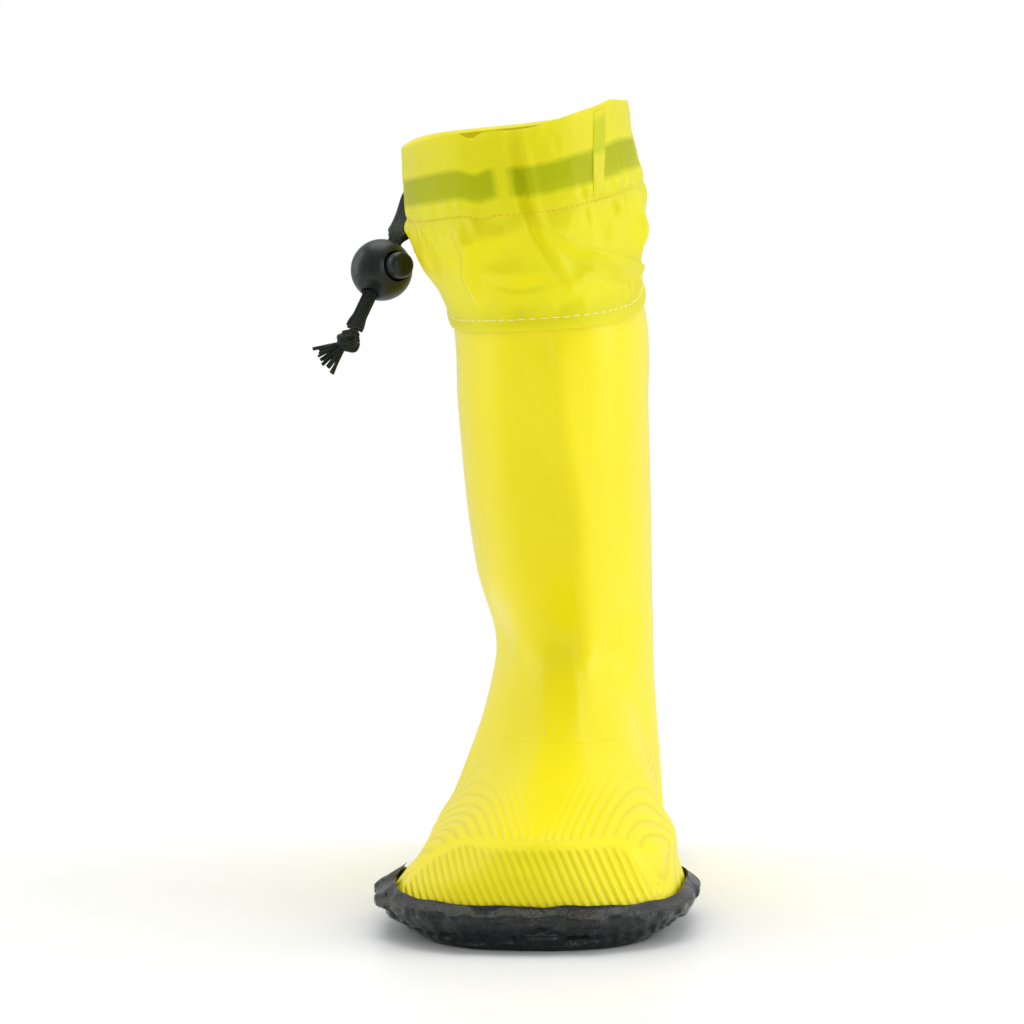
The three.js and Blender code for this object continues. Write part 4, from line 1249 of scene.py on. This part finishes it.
def toe_fullness(angle, z):
    """How far the soft rubber swells over the sole's lip at the toe's two corners, in mm."""
    return (3.0 * bell(angle + 0.52, 0.3) + 1.8 * bell(angle - 0.5, 0.28)) * bell(z - 11, 7)


def foot_ribs(points):
    """Rib count along the foot, and how deep the ribs are, for each point.

    The ribs are straight diagonals on both sides and on the toe's front face, and meet along the instep.
    """
    x, y, z = points[..., 0], points[..., 1], points[..., 2]
    toe = ramp(-y + 0.25 * np.abs(x - 2), 78, 86) * (1 - ramp(z, 23, 27))
    outer_side = 1 - ramp(x, 0, 6)
    front = (x + 0.47 * (z - 12)) / 2.1
    outer = (x + 0.34 * y - 0.62 * z) / 1.85
    inner = (x - 0.3 * y + 0.55 * z) / 1.85
    phase = np.where(toe > 0.5, front, np.where(outer_side > 0.5, outer, inner))
    fade = 1 - ramp(z, vamp_top(0) - 14, vamp_top(0) - 3)
    toe_turn = ramp(np.abs(toe - 0.5), 0.22, 0.48)
    instep_turn = 1 - (1 - toe) * (1 - ramp(np.abs(outer_side - 0.5), 0.2, 0.48))
    middle = 1 - 0.92 * bell(x - 4, 15) * (1 - toe) * ramp(z, 22, 30)
    depth = np.clip(fade * middle * toe_turn * instep_turn, 0, 1)
    return phase, depth


def make_foot():
    angle = columns(420, 0.45)
    high = vamp_top(angle)
    z = even_rows(angle, np.full_like(angle, BOTTOM), high, 100, 1.15)
    turned = np.broadcast_to(angle[None, :], z.shape)
    x = skin(turned, z, 0)[..., 0] - 4
    inside = ramp(z - BOTTOM, 2, 9) * (1 - ramp(z, high - 7, high - 0.5))
    toe = ramp(np.cos(turned), 0.35, 0.8)
    toe_ridge = 1.3 * bell(z - 25 + 0.004 * x**2, 3.2) - 0.7 * bell(z - 16 + 0.003 * x**2, 4.5)
    relief = 0.18 * wobble((turned + math.pi) / (2 * math.pi), z, 14, 20, 41) + toe * toe_ridge
    relief = relief * inside + toe_fullness(turned, z)
    outer = skin(turned, z, -relief)
    uv = np.stack(foot_ribs(outer), -1)
    uv = np.concatenate([uv, uv[:, :1]], axis=1)
    return shell("foot", outer, skin(turned, z, RUBBER_WALL - relief), True, uv)


settle(make_foot(), FOOT_RUBBER, "ribbed_rubber", "vamp")

# ---- the sole: one soft black rubber piece, curled up round the foot ----


def lip_height(angle):
    """The wavy top edge of the sole, higher and crumpled at the outer front, low along the sides."""
    around = (angle + math.pi) / (2 * math.pi)
    ends = 2.6 * np.abs(np.cos(angle)) ** 3 - 1.1 * np.sin(angle) * (1 - ramp(np.cos(angle), 0.3, 0.8))
    corners = 2.4 * bell(angle + 0.42, 0.12) + 0.8 * bell(angle - 0.42, 0.1)
    waves = 0.5 * wobble(around, 0 * angle, 70, 1, 51) + 0.3 * wobble(around, 0 * angle, 150, 1, 52)
    peak = 1.6 * bell(angle + 0.44, 0.018) - 1.2 * bell(angle + 0.40, 0.016) + 0.8 * bell(angle + 0.36, 0.012)
    low_sides = 2.2 * ramp(np.abs(angle), 0.5, 0.85) * (1 - ramp(np.abs(angle), 2.3, 2.8))
    return 8.6 + ends + corners + waves + peak - low_sides


def boat_curve(share):
    """How far the sole's wall stands out from the foot at a share of its height: under the foot, then out."""
    low = -8.5 + 11.5 * math.sin(math.pi / 2 * min(share / 0.7, 1)) ** 0.8
    return low - 2.1 * float(ramp(share, 0.78, 1.0))


def sole_profile():
    """Rows of the sole's section, from the middle of its underside round the edge to inside its lip.

    Each row gives the outward reach past the foot, the height as a share of the lip's, a fixed height,
    and how strongly the rubber's wrinkles move it.
    """
    rows = [(-40.0, 0.0, 2.2, 0.0), (-17.0, 0.0, 2.2, 0.0), (-12.6, 0.0, 2.2, 0.0), (-12.1, 0.0, 0.3, 0.0),
            (-11.5, 0.0, 0.0, 0.0), (-8.8, 0.0, 0.0, 0.1)]
    for k in range(1, 48):
        s = k / 48
        rows.append((boat_curve(s), s, 0.0, min(1.0, 5 * s)))
    rows += [(0.85, 1.0, 0.0, 0.7), (0.6, 0.985, 0.0, 0.4), (0.4, 0.93, 0.0, 0.0)]
    rows += [(0.35, 0.7, 0.0, 0.0), (0.35, 0.0, BOTTOM + 0.2, 0.0), (0.3, 0.0, BOTTOM - 0.15, 0.0)]
    rows += [(-14.0, 0.0, BOTTOM - 0.15, 0.0), (-40.0, 0.0, BOTTOM - 0.15, 0.0)]
    return rows


def sole_wrinkles(angle, z, top):
    """Scallops under the lip, ribs along the bottom edge, arcs and a crumple at the ends, in mm."""
    around = (angle + math.pi) / (2 * math.pi)
    under_lip = bell(z - top + 3.2, 2.4)
    scallops = 1.1 * np.abs(wobble(around, z * 0.4, 84, 3.0, 61)) * under_lip
    creases = 0.75 * wobble(around, z, 120, 2.6, 64) + 0.6 * wobble(around, z, 260, 1.4, 62)
    ribs = 0.32 * np.sin(2 * math.pi * 230 * around) * bell(z - 3.6, 2.4)
    crumple = 1.6 * bell(angle + 0.46, 0.12) * wobble(around, z, 230, 1.6, 63)
    arcs = 0.0
    for turn, bend in ((0.38, 1), (0.46, 1), (-0.34, -1), (-0.42, -1), (-0.52, -1)):
        arcs = arcs - 0.7 * bell(angle - turn + bend * 0.0016 * (z - 11) ** 2, 0.011)
    calmer_lip = 1 - 0.6 * ramp(z, top - 1.5, top)
    return scallops + (creases + crumple) * calmer_lip + ribs + arcs * ramp(z, 1, 4) - 0.3


def make_sole():
    angle = columns(900, 0.6)
    top = lip_height(angle)
    tight = 1 - 0.9 * ramp(np.abs(angle), 0.46, 0.66)
    curl = 0.25 + 0.75 * ramp(np.abs(angle), 0.12, 0.42) * ramp(np.cos(angle), -0.9, 0.2)
    axis_x, axis_y = leg_axis(0.0)
    centre = np.array([float(axis_x), float(axis_y) - 20, 0])
    grid = []
    for out, share, fixed, wrinkle in sole_profile():
        z = np.broadcast_to(fixed + share * (top - fixed * (share > 0)), angle.shape)
        outline_z = np.maximum(z, BOTTOM)
        if out < -13:
            share_in = 0.35 if out < -30 else 0.75
            point = centre + (skin(angle, outline_z, 12.0) - centre) * share_in
        else:
            moved = wrinkle * sole_wrinkles(angle, z, top) + (toe_fullness(angle, z) if out > -8 else 0)
            stand = np.where(out > 1, out * tight, out * curl if out < 0 and share > 0 else out)
            point = skin(angle, outline_z, -(stand + moved))
        point[..., 2] = z
        grid.append(point)
    grid = np.array(grid)
    rows, cols = grid.shape[:2]
    middles = np.stack([grid[0].mean(axis=0), grid[-1].mean(axis=0)])
    low = rows * cols
    last = low - cols
    faces = grid_faces(rows, cols, True)[0].tolist()
    for c in range(cols):
        n = (c + 1) % cols
        faces += [[low, n, c], [low + 1, last + c, last + n]]
    piece = mesh_of("sole", np.concatenate([grid.reshape(-1, 3), middles]), faces, None, 60)
    face_outward(piece)
    return piece


settle(make_sole(), SOLE_RUBBER, "black_rubber", "outsole", "foxing_strip", "toe_bumper")


def tread_tree():
    """Puts a bar across the sole on each point, as wide as the point's own width."""
    tree = GrowthTree("tread bars", [
        ("Places", "Geometry"), ("Bar Depth", "Float"), ("Bar Height", "Float"), ("Material", "Material"),
    ])
    own = tree.add("GeometryNodeInputNamedAttribute", {"Name": "bar_width"}, data_type="FLOAT")
    bar = tree.add("GeometryNodeMeshCube", {"Vertices X": 9, "Vertices Y": 3}).outputs["Mesh"]
    values = {"X": own.outputs["Attribute"], "Y": tree.given["Bar Depth"], "Z": tree.given["Bar Height"]}
    size = tree.add("ShaderNodeCombineXYZ", values).outputs[0]
    tree.repeat(bar, tree.given["Places"], size)
    return tree


def make_tread():
    """Cross bars that fill the recess under the sole."""
    pitch = 9.0
    groove = 3.0
    border = 12.4
    first = 16.5
    last = 14
    thickness = 2.2
    places = []
    widths = []
    y = -FOOT_LENGTH / 2 + first
    while y < FOOT_LENGTH / 2 - last:
        t = y / FOOT_LENGTH + 0.5
        left = -float(edge_at(t, True, 0)) + border
        right = float(edge_at(t, False, 0)) - border
        if right - left > 12:
            places.append([(left + right) / 2, y, thickness / 2])
            widths.append((right - left + 0.8) * MM)
        y += pitch
    spots = bpy.data.meshes.new("bar_places")
    spots.from_pydata((np.array(places) * MM).tolist(), [], [])
    spots.attributes.new("bar_width", "FLOAT", "POINT").data.foreach_set("value", widths)
    values = {"Bar Depth": (pitch - groove) * MM, "Bar Height": thickness * MM, "Material": SOLE_RUBBER}
    return tread_tree().grow("tread", link("bar_places", spots), values)


tread = make_tread()
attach(tread, "boot")

# ---- pieces at the heel and inside ----


def make_heel_guard():
    """A rubber patch over the heel, thin at its edges."""
    half = 0.85
    rows = 60
    angles = np.linspace(math.pi - half, math.pi + half, 70)
    low = lip_height((angles + math.pi) % (2 * math.pi) - math.pi) - 1.0
    top = 50 - 14 * ((angles - math.pi) / half) ** 2
    shares = np.linspace(0, 1, rows)[:, None]
    along = np.linspace(0, 1, len(angles))[None, :]
    heights = low[None, :] + (top - low)[None, :] * shares
    turned = np.broadcast_to(angles[None, :], heights.shape)
    edge = np.minimum(np.minimum(shares, 1 - shares) * rows / 3, 1)
    side = np.minimum(np.minimum(along, 1 - along) * len(angles) / 3, 1)
    thick = np.sqrt(np.clip(edge * side, 0.02, 1))
    outer = skin(turned, heights, -0.3 - 1.1 * thick)
    phase, _ = foot_ribs(outer)
    uv = np.stack([phase, 0.9 * thick], -1)
    return shell("heel_guard", outer, skin(turned, heights, -0.3), False, uv, 50)


settle(make_heel_guard(), FOOT_RUBBER, "ribbed_rubber", "heel_patch")


def make_back_strip():
    """The rubber strip over the back seam of the leg."""
    angles = np.linspace(math.pi - 0.1, math.pi + 0.1, 18)
    top = hem_height(angles) - 1
    heights = 50.6 + (top - 50.6)[None, :] * np.linspace(0, 1, 120)[:, None]
    turned = np.broadcast_to(angles[None, :], heights.shape)
    relief = leg_relief(turned - 2 * math.pi * (turned > math.pi), heights)
    side = np.abs(np.linspace(-1, 1, 18))[None, :] ** 6
    outer = skin(turned, heights, -(1.15 - 0.6 * side) - relief)
    return shell("back_strip", outer, skin(turned, heights, -0.2 - relief), False, None, 50)


settle(make_back_strip(), LEG_RUBBER, "smooth_rubber", "back_seam_strip")


def lining_wall(name, low, high, outer_inset, wall, rows):
    angle = columns(200, 0.3)
    heights = even_rows(angle, low(angle), high(angle), rows, 1.0)
    turned = np.broadcast_to(angle[None, :], heights.shape)
    run = 1.3 * np.arange(len(angle) + 1)
    uv = np.stack(np.broadcast_arrays(run[None, :], heights[:, :1]), -1)
    inner = skin(turned, heights, outer_inset + wall)
    return shell(name, skin(turned, heights, outer_inset), inner, True, uv)


lining = lining_wall(
    "inner_lining", lambda a: np.full_like(a, INSIDE_BOTTOM), lambda a: rubber_top(a) - 11,
    LINING_INSET, LINING_WALL, 110,
)
settle(lining, COTTON, "cotton", "lining")
top_tape = lining_wall(
    "collar_tape", lambda a: rubber_top(a) - 10, lambda a: rubber_top(a) - 1, RUBBER_WALL + 0.5, 0.6, 14
)
settle(top_tape, COTTON, "cotton", "seam_tape")

for node_name, material in (
    ("joint_tape", TAPE_COTTON),
    ("sponge_filler", FOAM),
    ("sockliner", FOAM),
    ("insole_board", BOARD),
    ("cord_lock_spring", STEEL),
):
    dress(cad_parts[node_name], material)

# ---- the floor and the light ----


def make_floor():
    f = Finish("pale floor")
    at = f.object_place()
    tone = f.tint(f.noise(at, 3, 2), (0.93, 0.935, 0.94), (0.95, 0.955, 0.96))
    material = f.finish(f.surface(Base_Color=tone, Roughness=0.35, IOR=1.35))
    points = [(-900, -600, -0.05), (900, -600, -0.05), (900, 300, -0.05), (-900, 300, -0.05)]
    floor = mesh_of("floor", np.array(points, float), [[0, 1, 2, 3]])
    dress(floor, material)


def make_surroundings():
    """White all round, and dim in the direction that the toe faces, where the studio isn't lit."""
    world = bpy.data.worlds.new("studio")
    bpy.context.scene.world = world
    world.use_nodes = True
    tree = world.node_tree
    tree.nodes.clear()
    place = add_node(tree, "ShaderNodeTexCoord", {}).outputs["Generated"]
    back = add_node(tree, "ShaderNodeSeparateXYZ", {0: place}).outputs["Y"]
    values = {"Value": back, "From Min": -0.95, "From Max": -0.15, "To Min": 0.64, "To Max": 0.86}
    fade = add_node(tree, "ShaderNodeMapRange", values, interpolation_type="SMOOTHSTEP").outputs["Result"]
    lighting = add_node(tree, "ShaderNodeBackground", {"Strength": fade}).outputs[0]
    backdrop = add_node(tree, "ShaderNodeBackground", {"Strength": 1.0, "Color": (1, 1, 1, 1)}).outputs[0]
    seen = add_node(tree, "ShaderNodeLightPath", {}).outputs["Is Camera Ray"]
    chosen = add_node(tree, "ShaderNodeMixShader", {0: seen, 1: lighting, 2: backdrop}).outputs[0]
    add_node(tree, "ShaderNodeOutputWorld", {"Surface": chosen})


LIGHTS = [
    # name, place, size, power
    ("top softbox", (0.0, 0.25, 1.3), (1.2, 1.0), 8),
    ("left softbox", (-1.1, 0.25, 0.5), (0.6, 1.1), 3),
    ("right softbox", (1.1, 0.2, 0.5), (0.6, 1.1), 5),
    ("strip light", (0.2, -1.25, 0.4), (0.07, 1.0), 2.2),
]
AIM = Vector((0, 0, 0.1))


def make_light(name, place, size, power):
    lamp = bpy.data.lights.new(name, "AREA")
    lamp.shape = "RECTANGLE"
    lamp.size, lamp.size_y = size
    lamp.energy = power
    holder = link(name, lamp)
    holder.location = place
    holder.rotation_euler = (AIM - Vector(place)).to_track_quat("-Z", "Y").to_euler()


def make_stage():
    make_floor()
    make_surroundings()
    for light in LIGHTS:
        make_light(*light)
    bpy.context.scene.view_settings.view_transform = "Standard"


make_stage()
